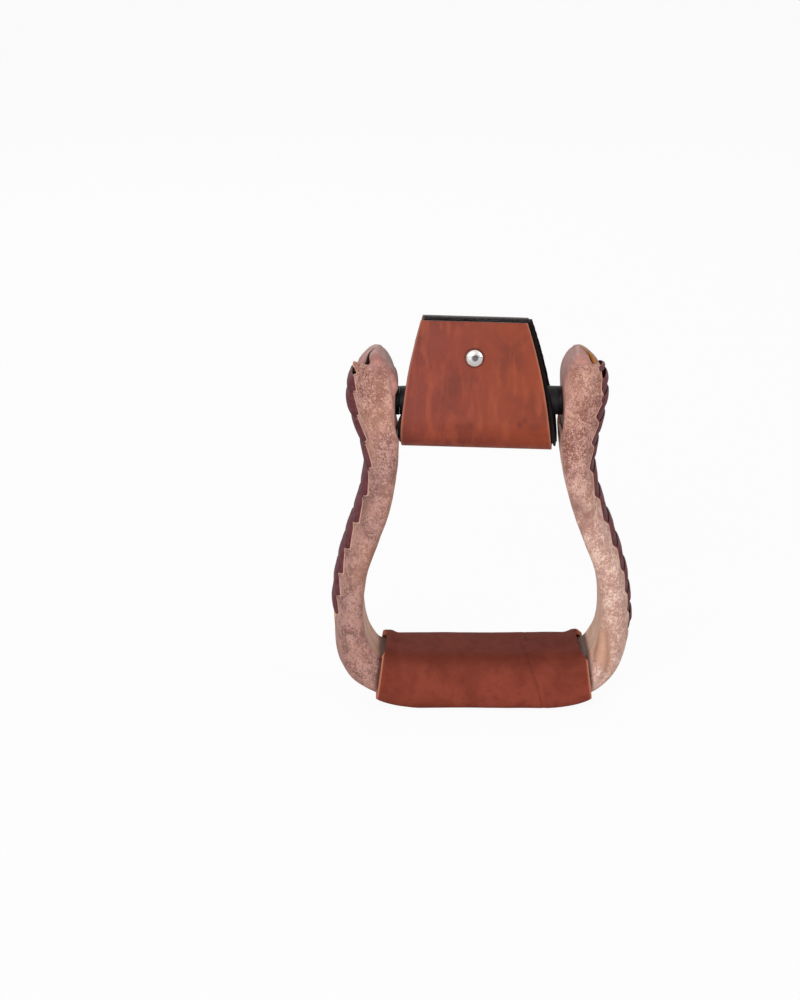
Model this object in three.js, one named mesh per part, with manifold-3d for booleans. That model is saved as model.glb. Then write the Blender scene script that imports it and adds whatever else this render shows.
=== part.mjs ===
// Western stirrup: a bent wood bow, covered on both limbs with rawhide that is laced along the outside,
// with a leather sleeve on the tread, a roller on the bolt between the limbs, and a leather keeper
// folded round the roller.
// Millimetres. X runs from limb to limb, Y from front to rear, Z up; the origin is on the floor.

import * as THREE from "three";
import { mergeVertices } from "three/addons/utils/BufferGeometryUtils.js";
import Module from "manifold-3d";

// Driving dimensions

// The bow, from the middle of the tread to the top of the right limb. x and z place the middle of the
// section, thick is measured from the flat inner face to the outer crest, half is half the depth.
// square is the exponent of the crowned side: 2 is an ellipse and 5 is nearly a slab.
// wall is the share of the thickness that stands straight, between the flat face and the crown.
const BOW = [
  { x: 0, z: 15.95, thick: 22.3, half: 16.8, square: 4.5, wall: 0.5 },
  { x: 20, z: 15.95, thick: 22.3, half: 16.8, square: 4.5, wall: 0.5 },
  { x: 38, z: 16.1, thick: 22.2, half: 16.8, square: 4.5, wall: 0.5 },
  { x: 51.3, z: 17.7, thick: 20.1, half: 16.8, square: 4, wall: 0.5 },
  { x: 62.2, z: 23.1, thick: 17.2, half: 16.8, square: 2.8, wall: 0.46 },
  { x: 68.4, z: 33, thick: 14.8, half: 17, square: 2.1, wall: 0.43 },
  { x: 71.2, z: 45, thick: 13.1, half: 17, square: 2, wall: 0.42 },
  { x: 71.2, z: 61, thick: 12, half: 17, square: 2, wall: 0.42 },
  { x: 68.3, z: 79, thick: 12, half: 17, square: 2, wall: 0.42 },
  { x: 61.9, z: 98, thick: 13, half: 17, square: 2, wall: 0.42 },
  { x: 55.4, z: 117, thick: 12.7, half: 17, square: 2, wall: 0.42 },
  { x: 51.7, z: 135.5, thick: 12.9, half: 17, square: 2, wall: 0.42 },
  { x: 52, z: 152.5, thick: 16.4, half: 17, square: 2, wall: 0.42 },
  { x: 53.9, z: 170, thick: 20.4, half: 17, square: 2, wall: 0.42 },
  { x: 54, z: 182, thick: 20.9, half: 17, square: 2, wall: 0.42 },
  { x: 54.5, z: 190, thick: 16.8, half: 16.4, square: 2.1, wall: 0.44 },
  { x: 54.6, z: 194.2, thick: 10.8, half: 14.8, square: 2.2, wall: 0.46 },
  { x: 54.4, z: 196.4, thick: 5.6, half: 12, square: 2.3, wall: 0.46 },
];
const LIMB_TOP = BOW.length - 1;
const LEAN = 4.2; // how far the tread stands to the right of the neck, as the bow was bent by hand
const BOARD_CORNER = 5.5; // radius along the flat face's edges, on the tread
const LIMB_CORNER = 3.5; // the same, on the limbs
const CROWN_STEPS = 5; // facets between a flap's edge and the widest part of the section

const GAP = 0.3; // left between pieces that touch
const RAWHIDE = 1.5; // thickness of the rawhide
const COVER_IN = GAP; // the rawhide cover, as growth of the wood's outline
const COVER_OUT = GAP + RAWHIDE;
const COVER_END = 2.55; // station where the cover ends, under the tread sleeve
const COVER_TOP = 15.5; // station of the flaps' cut top edge
const CAP_BOTTOM = 11.9; // station where the cap's lower edge lies, under the cover
const HOUSING = RAWHIDE + GAP; // depth of the step that the cap lies in

// The lacing: one flat lace for each limb, whipped through holes punched in both flaps
const STITCHES_LEFT = 10;
const STITCHES_RIGHT = 11;
// How far each stitch lies below its even place, in stitches, as the lace was pulled tight by hand.
const UNEVEN = [0, -0.28, -0.15, -0.1, 0, 0.15, 0.27, 0.38, 0.45, 0.42, 0.22, 0];
const FLAP_EDGE = 6.4; // from the crest to the cut edge of each flap, where it is laced
const FLAP_BUTT = 0.4; // the same below the lacing, where the two flaps meet
const HOLE_RADIUS = 2.65;
const HOLE_LONG = 0.34; // half the length of a hole, in stitches
const HOLE_FROM_CREST = 8.5;
const HOLE_SIDES = 8;
const LACE_THICK = 1.2;
const LACING_TOP = 14.15; // station of the first stitch
const LACING_END = 5.87; // station where the right lace ends, above the bottom corner
const GROOVE_HALF = 10.4; // the groove in the wood's crest, where the lace returns under the flaps
const GROOVE_DEPTH = 1.9;

// The tread sleeve
const SLEEVE_LEATHER = 3;
const SLEEVE_IN = COVER_OUT + GAP;
const SLEEVE_OUT = SLEEVE_IN + SLEEVE_LEATHER;
const SLEEVE_HALF_LOW = 58.5; // from its middle to the cut ends, at the floor
const SLEEVE_HALF_HIGH = 54.3; // the same at its top, where it rides up the limbs
const SLEEVE_HIGH = 36;
const SLEEVE_LIFT = 0.9; // how far its top stands off at the ends
const SLEEVE_SEAM_Y = 9;
const SLEEVE_SEAM = 0.5;

// The roller, its bolt and washers
const ROLLER_Z = 169.3;
const ROLLER_RADIUS = 7.75;
const ROLLER_BORE = 4.4;
const BOLT_RADIUS = 4;
const BOLT_HOLE = 4.4;
const BOLT_HEAD = { flats: 13, thick: 5.3 };
const NUT = { flats: 13, thick: 4.8 };
const RECESS_RADIUS = 8.4;
const RECESS_DEPTH = 10.5; // from the crest of the limb
const WASHER = { radius: 7.4, thick: 1.4 };
const SEAT_WASHER = { radius: 8, thick: 1.2 };

// The keeper: a leather strip with a black lining, folded under the roller and riveted above it
const KEEPER_LEATHER = 3;
const KEEPER_LINING = 2.5;
const KEEPER_TOP = 43.6; // above the roller's axis
const LINING_TOP = 44.9;
const KEEPER_HALF_TOP = 26.75;
const KEEPER_HALF_BOTTOM = 39.3;
const KEEPER_BULGE = 2.6; // how far its slanted sides bow out
const KEEPER_FOLD = 9.9; // inside radius of the fold
const KEEPER_FOLD_Z = -9.5; // height of the fold's centre, from the roller's axis
const KEEPER_TILT = 1.7; // degrees; the strip is folded askew, so that its right side hangs lower
const KEEPER_SKEW = 0.08; // and its rear arm stands this much to the right for each mm of depth
const KEEPER_X = -0.5; // the middle of its fold, from the neck's middle
const KEEPER_TOP_X = -2.7; // the middle of its top edge
const LINING_SHIFT = 0.9; // the lining shows past the leather on the right
const RIVET_Z = 25.4; // above the roller's axis
const RIVET_X = -2.8;
const RIVET = { cap: 4.6, dome: 2.1, post: 1.6, hole: 1.9 };

// Materials

function finish(color, roughness, metalness = 0) {
  return new THREE.MeshStandardMaterial({ color, roughness, metalness });
}
const WOOD = finish(0xc49a6c, 0.7);
const RAWHIDE_SKIN = finish(0xbd9684, 0.55);
const RAWHIDE_CAP = finish(0x9a8079, 0.45);
const LACE = finish(0x5c3238, 0.5);
const TREAD_LEATHER = finish(0x7a3a2c, 0.55);
const KEEPER_SKIN = finish(0x9a4a34, 0.55);
const BLACK_LINING = finish(0x1c1a1d, 0.8);
const ROLLER_RUBBER = finish(0x22252a, 0.5);
const STEEL = finish(0x9b9c9e, 0.35, 1);
const NICKEL = finish(0xd5d4d2, 0.15, 1);

// Solids from three.js geometry

const wasm = await Module();
wasm.setup();

function solid(geometry) {
  const bare = geometry.index ? geometry.toNonIndexed() : geometry.clone();
  bare.deleteAttribute("normal");
  bare.deleteAttribute("uv");
  const merged = mergeVertices(bare, 1e-4);
  const vertProperties = merged.attributes.position.array;
  const triVerts = new Uint32Array(merged.index.array);
  return new wasm.Manifold(new wasm.Mesh({ numProp: 3, vertProperties, triVerts }));
}

function mesh(name, shape, material) {
  const { numProp, vertProperties, triVerts } = shape.getMesh();
  const position = new Float32Array((vertProperties.length / numProp) * 3);
  for (let i = 0; i * numProp < vertProperties.length; i++) {
    position.set(vertProperties.subarray(i * numProp, i * numProp + 3), i * 3);
  }
  const geometry = new THREE.BufferGeometry();
  geometry.setAttribute("position", new THREE.BufferAttribute(position, 3));
  geometry.setIndex(new THREE.BufferAttribute(triVerts, 1));
  geometry.computeVertexNormals();
  const made = new THREE.Mesh(geometry, material);
  made.name = name;
  return made;
}

// A box between two corners.
function block(x0, y0, z0, x1, y1, z1) {
  const box = new THREE.BoxGeometry(x1 - x0, y1 - y0, z1 - z0);
  return solid(box.translate((x0 + x1) / 2, (y0 + y1) / 2, (z0 + z1) / 2));
}

// A round bar along X, from x0 to x1, on the roller's axis.
function barX(radius, x0, x1, sides = 24) {
  const bar = new THREE.CylinderGeometry(radius, radius, x1 - x0, sides);
  return solid(bar.rotateZ(-Math.PI / 2).translate((x0 + x1) / 2, 0, ROLLER_Z));
}

// A hexagon across X, with its flats the given distance apart.
function hexX(flats, x0, x1) {
  return barX(flats / Math.sqrt(3), x0, x1, 6);
}

// Joins rings of points into a closed skin. Each ring has the same number of points. The ends are
// closed as a fan, or as a band where the ring runs out along one edge and back along the other.
function skin(rings, band = false) {
  const positions = [];
  const corner = (point) => positions.push(point.x, point.y, point.z);
  const triangle = (a, b, c) => [a, b, c].forEach(corner);
  const size = rings[0].length;
  for (let i = 0; i + 1 < rings.length; i++) {
    for (let j = 0; j < size; j++) {
      const n = (j + 1) % size;
      triangle(rings[i][j], rings[i + 1][j], rings[i + 1][n]);
      triangle(rings[i][j], rings[i + 1][n], rings[i][n]);
    }
  }
  const close = (ring, flip) => {
    const face = flip ? (a, b, c) => triangle(a, c, b) : triangle;
    if (band) {
      for (let j = 0; j < size / 2 - 1; j++) {
        const across = size - 1 - j;
        face(ring[j], ring[j + 1], ring[across - 1]);
        face(ring[j], ring[across - 1], ring[across]);
      }
    } else {
      const middle = new THREE.Vector3();
      ring.forEach((point) => middle.addScaledVector(point, 1 / size));
      for (let j = 0; j < size; j++) face(middle, ring[j], ring[(j + 1) % size]);
    }
  };
  close(rings[0], false);
  close(rings[rings.length - 1], true);
  const geometry = new THREE.BufferGeometry();
  geometry.setAttribute("position", new THREE.Float32BufferAttribute(positions, 3));
  return solid(geometry);
}

// The bow's own coordinates. Station 0 is the middle of the tread, positive stations are on the right
// limb and negative ones on the left.

// A smooth value through the stations of BOW.
function bowValue(name, station) {
  const last = BOW.length - 1;
  const odd = name === "x";
  const at = (n) => {
    if (n < 0) return (odd ? -1 : 1) * BOW[-n][name];
    if (n > last) return 2 * BOW[last][name] - BOW[last - 1][name];
    return BOW[n][name];
  };
  const away = Math.abs(station);
  const i = Math.min(Math.floor(away), last - 1);
  const f = away - i;
  const [a, b, c, d] = [at(i - 1), at(i), at(i + 1), at(i + 2)];
  const value =
    b + 0.5 * f * (c - a + f * (2 * a - 5 * b + 4 * c - d + f * (3 * (b - c) + d - a)));
  return odd && station < 0 ? -value : value;
}

// The middle of the section and its outward direction in the XZ plane.
function bowFrame(station) {
  const step = 0.02;
  const dx = bowValue("x", station + step) - bowValue("x", station - step);
  const dz = bowValue("z", station + step) - bowValue("z", station - step);
  const length = Math.hypot(dx, dz);
  return {
    x: bowValue("x", station),
    z: bowValue("z", station),
    along: { x: dx / length, z: dz / length },
    out: { x: dz / length, z: -dx / length },
  };
}

// The point of a section at a lateral distance and a height above its middle. grow moves the limb's end
// up as it moves the outline out.
function bowPoint(station, lateral, height, grow = 0) {
  const { x, z, along, out } = bowFrame(station);
  const nearTop = Math.max(0, Math.abs(station) - (LIMB_TOP - 2)) / 2;
  const end = Math.sign(station) * nearTop * grow;
  const px = x + out.x * height + along.x * end;
  const pz = z + out.z * height + along.z * end;
  return new THREE.Vector3(px + LEAN * (1 - pz / ROLLER_Z), lateral, pz);
}

// What the outline of a section is made of, grown outwards by a distance.
function sectionSizes(station, grow) {
  const thick = bowValue("thick", station);
  const onBoard = THREE.MathUtils.smoothstep(5 - Math.abs(station), 0, 2);
  const base = -thick / 2 + bowValue("wall", station) * thick;
  return {
    flat: -thick / 2 - grow,
    base,
    crown: thick / 2 - base + grow,
    reach: bowValue("half", station) + grow,
    square: bowValue("square", station),
    corner: Math.min(THREE.MathUtils.lerp(LIMB_CORNER, BOARD_CORNER, onBoard), 0.4 * thick) + grow,
  };
}

// Height of the crowned side above the middle of the section, at a lateral distance.
function crownHeight(station, lateral, grow) {
  const { base, crown, reach, square } = sectionSizes(station, grow);
  return base + crown * (1 - (Math.abs(lateral) / reach) ** square) ** (1 / square);
}

// From the crest to the cut edge of a flap. The flaps draw together below the last stitch.
function flapEdge(station) {
  const open = station > 0 ? LACING_END + 0.13 : LACING_END + 0.88;
  const share = THREE.MathUtils.smoothstep(Math.abs(station), open - 0.75, open);
  return THREE.MathUtils.lerp(FLAP_BUTT, FLAP_EDGE, share);
}

// Half of a section's outline as [lateral, height], from the flap's edge to the middle of the flat
// face. lift raises the flat face.
function halfOutline(station, grow, lift = 0) {
  const { flat, base, crown, reach, square, corner } = sectionSizes(station, grow);
  const first = Math.asin((flapEdge(station) / reach) ** (square / 2));
  const points = [];
  for (let i = 0; i <= CROWN_STEPS; i++) {
    const angle = first + ((Math.PI / 2 - first) * i) / CROWN_STEPS;
    const lateral = reach * Math.sin(angle) ** (2 / square);
    const height = base + crown * Math.max(0, Math.cos(angle)) ** (2 / square);
    points.push([lateral, height]);
  }
  const inset = corner * (1 - Math.SQRT1_2);
  points.push([reach, flat - lift + corner]);
  points.push([reach - inset, flat - lift + inset]);
  points.push([reach - corner, flat - lift]);
  points.push([0, flat - lift]);
  return points;
}

// The stations where the bow's facets meet. Every layer bends at the same places, so that layers of
// facets lie on each other as the smooth ones would.
const FACETS = [0, 1, 2];
for (let k = 2.5; k < 6; k += 0.5) FACETS.push(k);
for (let k = 6; k < 14; k += 0.75) FACETS.push(k);
FACETS.push(14, 15, 16, LIMB_TOP);

// Stations from one to another, on one side or across the tread, with the facets' ones between them.
function stations(from, to) {
  const both = [...FACETS.slice(1).reverse().map((k) => -k), ...FACETS];
  return [from, ...both.filter((k) => k > from + 0.06 && k < to - 0.06), to];
}

// The same stretch of the right limb, or of the left one in the opposite order.
function limbStations(side, from, to) {
  return side > 0 ? stations(from, to) : stations(-to, -from);
}

// A ring of points at a station, on the facets between the two stations of FACETS beside it.
function onFacets(station, ring) {
  const away = Math.abs(station);
  const i = Math.min(FACETS.findLastIndex((k) => k <= away), FACETS.length - 2);
  const f = (away - FACETS[i]) / (FACETS[i + 1] - FACETS[i]);
  const side = station < 0 ? -1 : 1;
  const near = ring(side * FACETS[i]);
  if (f === 0) return near;
  const far = ring(side * FACETS[i + 1]);
  return near.map((point, n) => point.lerp(far[n], f));
}

// Both halves of a section's outline without the crest, from the front flap's edge round to the rear.
function wrapRing(station, grow, lift = 0) {
  const half = halfOutline(station, grow, lift);
  const front = half.map(([y, h]) => bowPoint(station, -y, h, grow));
  const rear = half.slice(0, -1).reverse();
  return [...front, ...rear.map(([y, h]) => bowPoint(station, y, h, grow))];
}

// A closed length of the bow's section.
function bowSolid(list, grow, lift = () => 0) {
  const ring = (station) => [
    bowPoint(station, 0, crownHeight(station, 0, grow), grow),
    ...wrapRing(station, grow, lift(station)),
  ];
  return skin(list.map((station) => onFacets(station, ring)));
}

// A band that wraps the flat face and both edges, from one flap's edge round to the other.
function wrapSolid(list, inner, outer) {
  const ring = (station) => [...wrapRing(station, outer), ...wrapRing(station, inner).reverse()];
  return skin(list.map((station) => onFacets(station, ring)), true);
}

// A bar along the crest, between two growths of the outline.
function crestBar(list, half, low, high) {
  const laterals = [-half, -half / 2, 0, half / 2, half];
  const edge = (station, grow) =>
    laterals.map((y) => bowPoint(station, y, crownHeight(station, y, 0) + grow));
  const ring = (station) => [...edge(station, high).reverse(), ...edge(station, low)];
  return skin(list.map((station) => onFacets(station, ring)), true);
}

// Distance along the crest of a limb, measured down from the first stitch, and the station there.
const CREST = (() => {
  const steps = 400;
  const table = [];
  let length = 0;
  let before = null;
  for (let i = 0; i <= steps; i++) {
    const station = THREE.MathUtils.lerp(LACING_TOP + 0.6, LACING_END - 0.6, i / steps);
    const [point] = onFacets(station, (k) => [bowPoint(k, 0, crownHeight(k, 0, 0))]);
    if (before) length += point.distanceTo(before);
    before = point;
    table.push({ station, length });
  }
  return table;
})();
function crestLength(station) {
  return CREST.find((row) => row.station <= station).length;
}
function crestStation(length) {
  const i = Math.max(1, CREST.findIndex((row) => row.length >= length));
  const [a, b] = [CREST[i - 1], CREST[i]];
  const f = (length - a.length) / (b.length - a.length);
  return THREE.MathUtils.lerp(a.station, b.station, f);
}
const PITCH = (crestLength(LACING_END) - crestLength(LACING_TOP)) / STITCHES_RIGHT;

// The number of stitches on a limb.
function stitchesOn(side) {
  return side > 0 ? STITCHES_RIGHT : STITCHES_LEFT;
}

// Length along the crest to a place of the lacing, which is counted in stitches from the first one.
function stitchLength(count) {
  const i = THREE.MathUtils.clamp(Math.floor(count), 0, UNEVEN.length - 2);
  const moved = THREE.MathUtils.lerp(UNEVEN[i], UNEVEN[i + 1], count - i);
  return crestLength(LACING_TOP) + (count + moved) * PITCH;
}

// The wood bow

// The crest's distance from the middle at the height of the bolt.
const BOLT_STATION = 12.96;
const CREST_X = bowPoint(BOLT_STATION, 0, crownHeight(BOLT_STATION, 0, 0)).x;

function woodBow() {
  const bow = bowSolid(stations(-CAP_BOTTOM, CAP_BOTTOM), 0);
  const fullTread = bowSolid(stations(-COVER_END + 0.05, COVER_END - 0.05), COVER_OUT);
  let wood = bow.add(fullTread);
  for (const side of [-1, 1]) {
    wood = wood.add(bowSolid(limbStations(side, CAP_BOTTOM - 0.3, LIMB_TOP), -HOUSING));
    const lowest = crestStation(stitchLength(stitchesOn(side)));
    const groove = limbStations(side, lowest - 0.1, LACING_TOP + 0.4);
    wood = wood.subtract(crestBar(groove, GROOVE_HALF, -GROOVE_DEPTH, 4));
    const floor = side * (CREST_X - RECESS_DEPTH);
    wood = wood.subtract(barX(RECESS_RADIUS, Math.min(floor, side * 90), Math.max(floor, side * 90), 20));
  }
  return wood.subtract(barX(BOLT_HOLE, -90, 90, 16));
}

// The rawhide on each limb: a wrapped cover whose flaps are punched for the lace, and a cap over the
// top of the wood

function punch(side, count, edge) {
  const [above, below] = [stitchLength(count - HOLE_LONG), stitchLength(count + HOLE_LONG)];
  const station = side * crestStation((above + below) / 2);
  const half = (below - above) / 2;
  const middle = bowPoint(station, edge * HOLE_FROM_CREST, crownHeight(station, HOLE_FROM_CREST, 1));
  const { out, along } = bowFrame(station);
  const rake = 0.25 * edge; // the flap slopes away from the crest
  const axis = new THREE.Vector3(out.x, rake, out.z).normalize();
  const lengthwise = new THREE.Vector3(along.x, 0, along.z);
  const across = new THREE.Vector3().crossVectors(lengthwise, axis);
  const bar = new THREE.CylinderGeometry(HOLE_RADIUS, HOLE_RADIUS, 7, HOLE_SIDES);
  bar.scale(half / HOLE_RADIUS, 1, 1);
  const turn = new THREE.Matrix4().makeBasis(lengthwise, axis, across);
  return solid(bar.applyMatrix4(turn).translate(middle.x, middle.y, middle.z));
}

// The corner of the cover that is cut away above the roller, where the smooth cap shows. It is deeper on
// the left limb.
function scoop(side) {
  const deeper = side > 0 ? 0 : 0.6;
  const shape = new THREE.Shape();
  shape.moveTo(30, 150);
  shape.lineTo(41.7, 150);
  shape.lineTo(43.5 + deeper, 160.6);
  shape.quadraticCurveTo(43.7 + deeper, 180, 46.6 + 5 * deeper, 201);
  shape.lineTo(30, 201);
  shape.closePath();
  const cut = new THREE.ExtrudeGeometry(shape, { depth: 60, bevelEnabled: false, curveSegments: 5 });
  cut.rotateX(Math.PI / 2).translate(0, 30, 0);
  const made = solid(cut);
  return side > 0 ? made : made.mirror([1, 0, 0]);
}

function rawhideCover(side) {
  const sheet = wrapSolid(limbStations(side, COVER_END, COVER_TOP), COVER_IN, COVER_OUT);
  let cover = sheet.subtract(scoop(side));
  for (let n = 0; n < stitchesOn(side); n++) {
    cover = cover.subtract(punch(side, n, 1));
    cover = cover.subtract(punch(side, n + 0.5, -1));
  }
  return cover.subtract(barX(BOLT_HOLE, Math.min(0, side * 90), Math.max(0, side * 90), 16));
}

function rawhideCap(side) {
  const outside = bowSolid(limbStations(side, CAP_BOTTOM + 0.05, LIMB_TOP), 0);
  const inside = bowSolid(limbStations(side, CAP_BOTTOM - 0.3, LIMB_TOP), -RAWHIDE);
  const open = limbStations(side, CAP_BOTTOM - 0.3, LACING_TOP + 0.4);
  const cap = outside.subtract(inside).subtract(crestBar(open, GROOVE_HALF + GAP, -6, 6));
  return cap.subtract(barX(BOLT_HOLE, Math.min(0, side * 90), Math.max(0, side * 90), 16));
}

// One lace for each limb. Each stitch crosses the crest from a rear hole down to a front hole, turns
// in under the flap, and comes back beneath both flaps to the next rear hole.

const OVER = COVER_OUT + 1.2 * GAP + LACE_THICK / 2;
const UNDER = -LACE_THICK / 2;
const TURN = (OVER + UNDER) / 2;
// y and grow place the middle of the lace, forward is the share of a pitch, tilt turns its outside face.
const STITCH = [
  { y: 8.6, grow: TURN, forward: 0, width: 5.4, tilt: 0 },
  { y: 8, grow: OVER - 0.15, forward: 0, width: 6, tilt: 45 },
  { y: 6.2, grow: OVER, forward: 0.06, width: 8.8, tilt: 90 },
  { y: 3.8, grow: OVER, forward: 0.14, width: 11.9, tilt: 90 },
  { y: 0, grow: OVER, forward: 0.25, width: 12.2, tilt: 90 },
  { y: -3.8, grow: OVER, forward: 0.36, width: 11.9, tilt: 90 },
  { y: -6.2, grow: OVER, forward: 0.44, width: 8.8, tilt: 90 },
  { y: -8, grow: OVER - 0.15, forward: 0.5, width: 6, tilt: 135 },
  { y: -8.6, grow: TURN, forward: 0.5, width: 5.4, tilt: 180 },
  { y: -8, grow: UNDER + 0.25, forward: 0.5, width: 5.4, tilt: 225 },
  { y: -6, grow: UNDER, forward: 0.54, width: 5, tilt: 270 },
  { y: 0, grow: UNDER, forward: 0.75, width: 6, tilt: 270 },
  { y: 6, grow: UNDER, forward: 0.96, width: 5, tilt: 270 },
  { y: 8, grow: UNDER + 0.25, forward: 1, width: 5.4, tilt: 315 },
];

// The lace's own end, tucked under the rear flap before the first hole.
const START = [
  { y: 1, grow: UNDER, forward: 0.97, width: 4, tilt: 270 },
  { y: 6, grow: UNDER, forward: 0.98, width: 4, tilt: 270 },
  STITCH[STITCH.length - 1],
];

// The four corners of the lace at one place of one stitch.
function laceRing(side, stitch, place) {
  const tilt = THREE.MathUtils.degToRad(place.tilt);
  const across = [Math.cos(tilt), Math.sin(tilt)].map((part) => (part * LACE_THICK) / 2);
  const corner = (along, face) => {
    const count = stitch + place.forward + (along * place.width) / 2 / PITCH;
    const station = side * crestStation(stitchLength(count));
    const y = place.y + face * across[0];
    const grow = place.grow + face * across[1];
    return onFacets(station, (k) => [bowPoint(k, y, crownHeight(k, y, 0) + grow)])[0];
  };
  const ring = [corner(-1, 1), corner(1, 1), corner(1, -1), corner(-1, -1)];
  return side > 0 ? ring : ring.reverse();
}

// All rings of one lace, from its tucked start to its end.
function laceRings(side) {
  const places = START.map((place) => [-1, place]);
  const last = stitchesOn(side) - 1;
  for (let n = 0; n <= last; n++) {
    const used = n === last ? STITCH.slice(0, 12) : STITCH;
    used.forEach((place) => places.push([n, place]));
  }
  return places.map(([n, place]) => laceRing(side, n, place));
}

// The least distance between two stretches of the lace that don't follow each other, measured on
// points along its four edges and the middles of its broad faces.
function laceSelfGap(rings) {
  const steps = 6;
  const points = [];
  for (let i = 0; i + 1 < rings.length; i++) {
    for (let s = 0; s < steps; s++) {
      const ring = rings[i].map((point, n) => point.clone().lerp(rings[i + 1][n], s / steps));
      ring.push(ring[0].clone().lerp(ring[1], 0.5), ring[2].clone().lerp(ring[3], 0.5));
      ring.forEach((point) => points.push({ place: i + s / steps, point }));
    }
  }
  let least = Infinity;
  for (let i = 0; i < points.length; i++) {
    for (let j = i + 1; j < points.length && points[j].place - points[i].place < 24; j++) {
      if (points[j].place - points[i].place < 6) continue;
      least = Math.min(least, points[i].point.distanceTo(points[j].point));
    }
  }
  return least;
}

function lace(side) {
  const rings = laceRings(side);
  const gap = laceSelfGap(rings);
  console.log(`least gap of a lace to itself: ${gap.toFixed(2)} mm`);
  return skin(rings);
}

// The leather sleeve on the tread, open at both ends, with a butt seam underneath

function treadSleeve() {
  const lift = (station) => SLEEVE_LIFT * THREE.MathUtils.smoothstep(Math.abs(station), 2.6, 3.4);
  const outside = bowSolid(stations(-4, 4), SLEEVE_OUT, lift);
  const hollow = bowSolid(stations(-4.2, 4.2), SLEEVE_IN, lift);
  const seam = block(-90, SLEEVE_SEAM_Y, -5, 90, SLEEVE_SEAM_Y + SLEEVE_SEAM, 8);
  const ends = new THREE.Shape();
  ends.moveTo(-SLEEVE_HALF_LOW, 0);
  ends.lineTo(SLEEVE_HALF_LOW, 0);
  ends.lineTo(SLEEVE_HALF_HIGH, SLEEVE_HIGH);
  ends.lineTo(SLEEVE_HALF_HIGH, 60);
  ends.lineTo(-SLEEVE_HALF_HIGH, 60);
  ends.lineTo(-SLEEVE_HALF_HIGH, SLEEVE_HIGH);
  ends.closePath();
  const bar = new THREE.ExtrudeGeometry(ends, { depth: 80, bevelEnabled: false });
  const cut = solid(bar.rotateX(Math.PI / 2).translate(LEAN, 40, 0));
  return outside.intersect(cut).subtract(hollow).subtract(seam);
}

// The roller and what holds it

const CAP_FACE = Math.abs(bowPoint(BOLT_STATION, 0, sectionSizes(BOLT_STATION, 0).flat).x);
const WASHER_X = CAP_FACE - 2 * GAP; // the leaning faces come this much nearer above the bolt
const ROLLER_X = WASHER_X - WASHER.thick - GAP;
const RECESS_X = CREST_X - RECESS_DEPTH;
const SEAT_X = RECESS_X + GAP + SEAT_WASHER.thick;

function washer(size, x0) {
  return barX(size.radius, x0, x0 + size.thick, 20).subtract(barX(BOLT_HOLE, x0 - 1, x0 + size.thick + 1, 16));
}

function stirrupBolt() {
  const head = hexX(BOLT_HEAD.flats, SEAT_X + GAP, SEAT_X + GAP + BOLT_HEAD.thick);
  const end = -(SEAT_X + GAP + NUT.thick - 0.6);
  return head.add(barX(BOLT_RADIUS, end, SEAT_X + GAP + 1, 16));
}

function boltNut() {
  const x0 = -(SEAT_X + GAP + NUT.thick);
  return hexX(NUT.flats, x0, x0 + NUT.thick).subtract(barX(BOLT_HOLE, x0 - 1, x0 + NUT.thick + 1, 16));
}

function rollerSleeve() {
  return barX(ROLLER_RADIUS, -ROLLER_X, ROLLER_X, 28).subtract(barX(ROLLER_BORE, -60, 60, 16));
}

// The keeper

// Closed outline, in the YZ plane about the roller's axis, of one layer of the folded strip. inside is
// the distance from the strip's inner face to the layer, and the arms lean together above the roller.
function keeperLayer(inside, thick, top) {
  const shape = new THREE.Shape();
  const lean = Math.asin((KEEPER_FOLD - GAP) / (LINING_TOP - KEEPER_FOLD_Z));
  const arm = (radius, sign) => {
    const tangent = new THREE.Vector2(radius * Math.cos(lean), KEEPER_FOLD_Z + radius * Math.sin(lean));
    const run = (top - tangent.y) / Math.cos(lean);
    return [
      new THREE.Vector2(sign * (tangent.x - run * Math.sin(lean)), top),
      new THREE.Vector2(sign * tangent.x, tangent.y),
    ];
  };
  const near = KEEPER_FOLD + inside;
  const far = near + thick;
  const [frontTop] = arm(far, -1);
  shape.moveTo(frontTop.x, frontTop.y);
  shape.absarc(0, KEEPER_FOLD_Z, far, Math.PI - lean, 2 * Math.PI + lean, false);
  shape.lineTo(arm(far, 1)[0].x, top);
  shape.lineTo(arm(near, 1)[0].x, top);
  shape.absarc(0, KEEPER_FOLD_Z, near, lean, -Math.PI - lean, true);
  shape.lineTo(arm(near, -1)[0].x, top);
  shape.closePath();
  const depth = 2 * (KEEPER_HALF_BOTTOM + 6);
  const strip = new THREE.ExtrudeGeometry(shape, { depth, bevelEnabled: false, curveSegments: 8 });
  strip.rotateX(Math.PI / 2).rotateZ(Math.PI / 2).translate(-depth / 2, 0, 0);
  strip.rotateY(THREE.MathUtils.degToRad(KEEPER_TILT));
  return solid(strip.translate(0, 0, ROLLER_Z));
}

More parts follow.
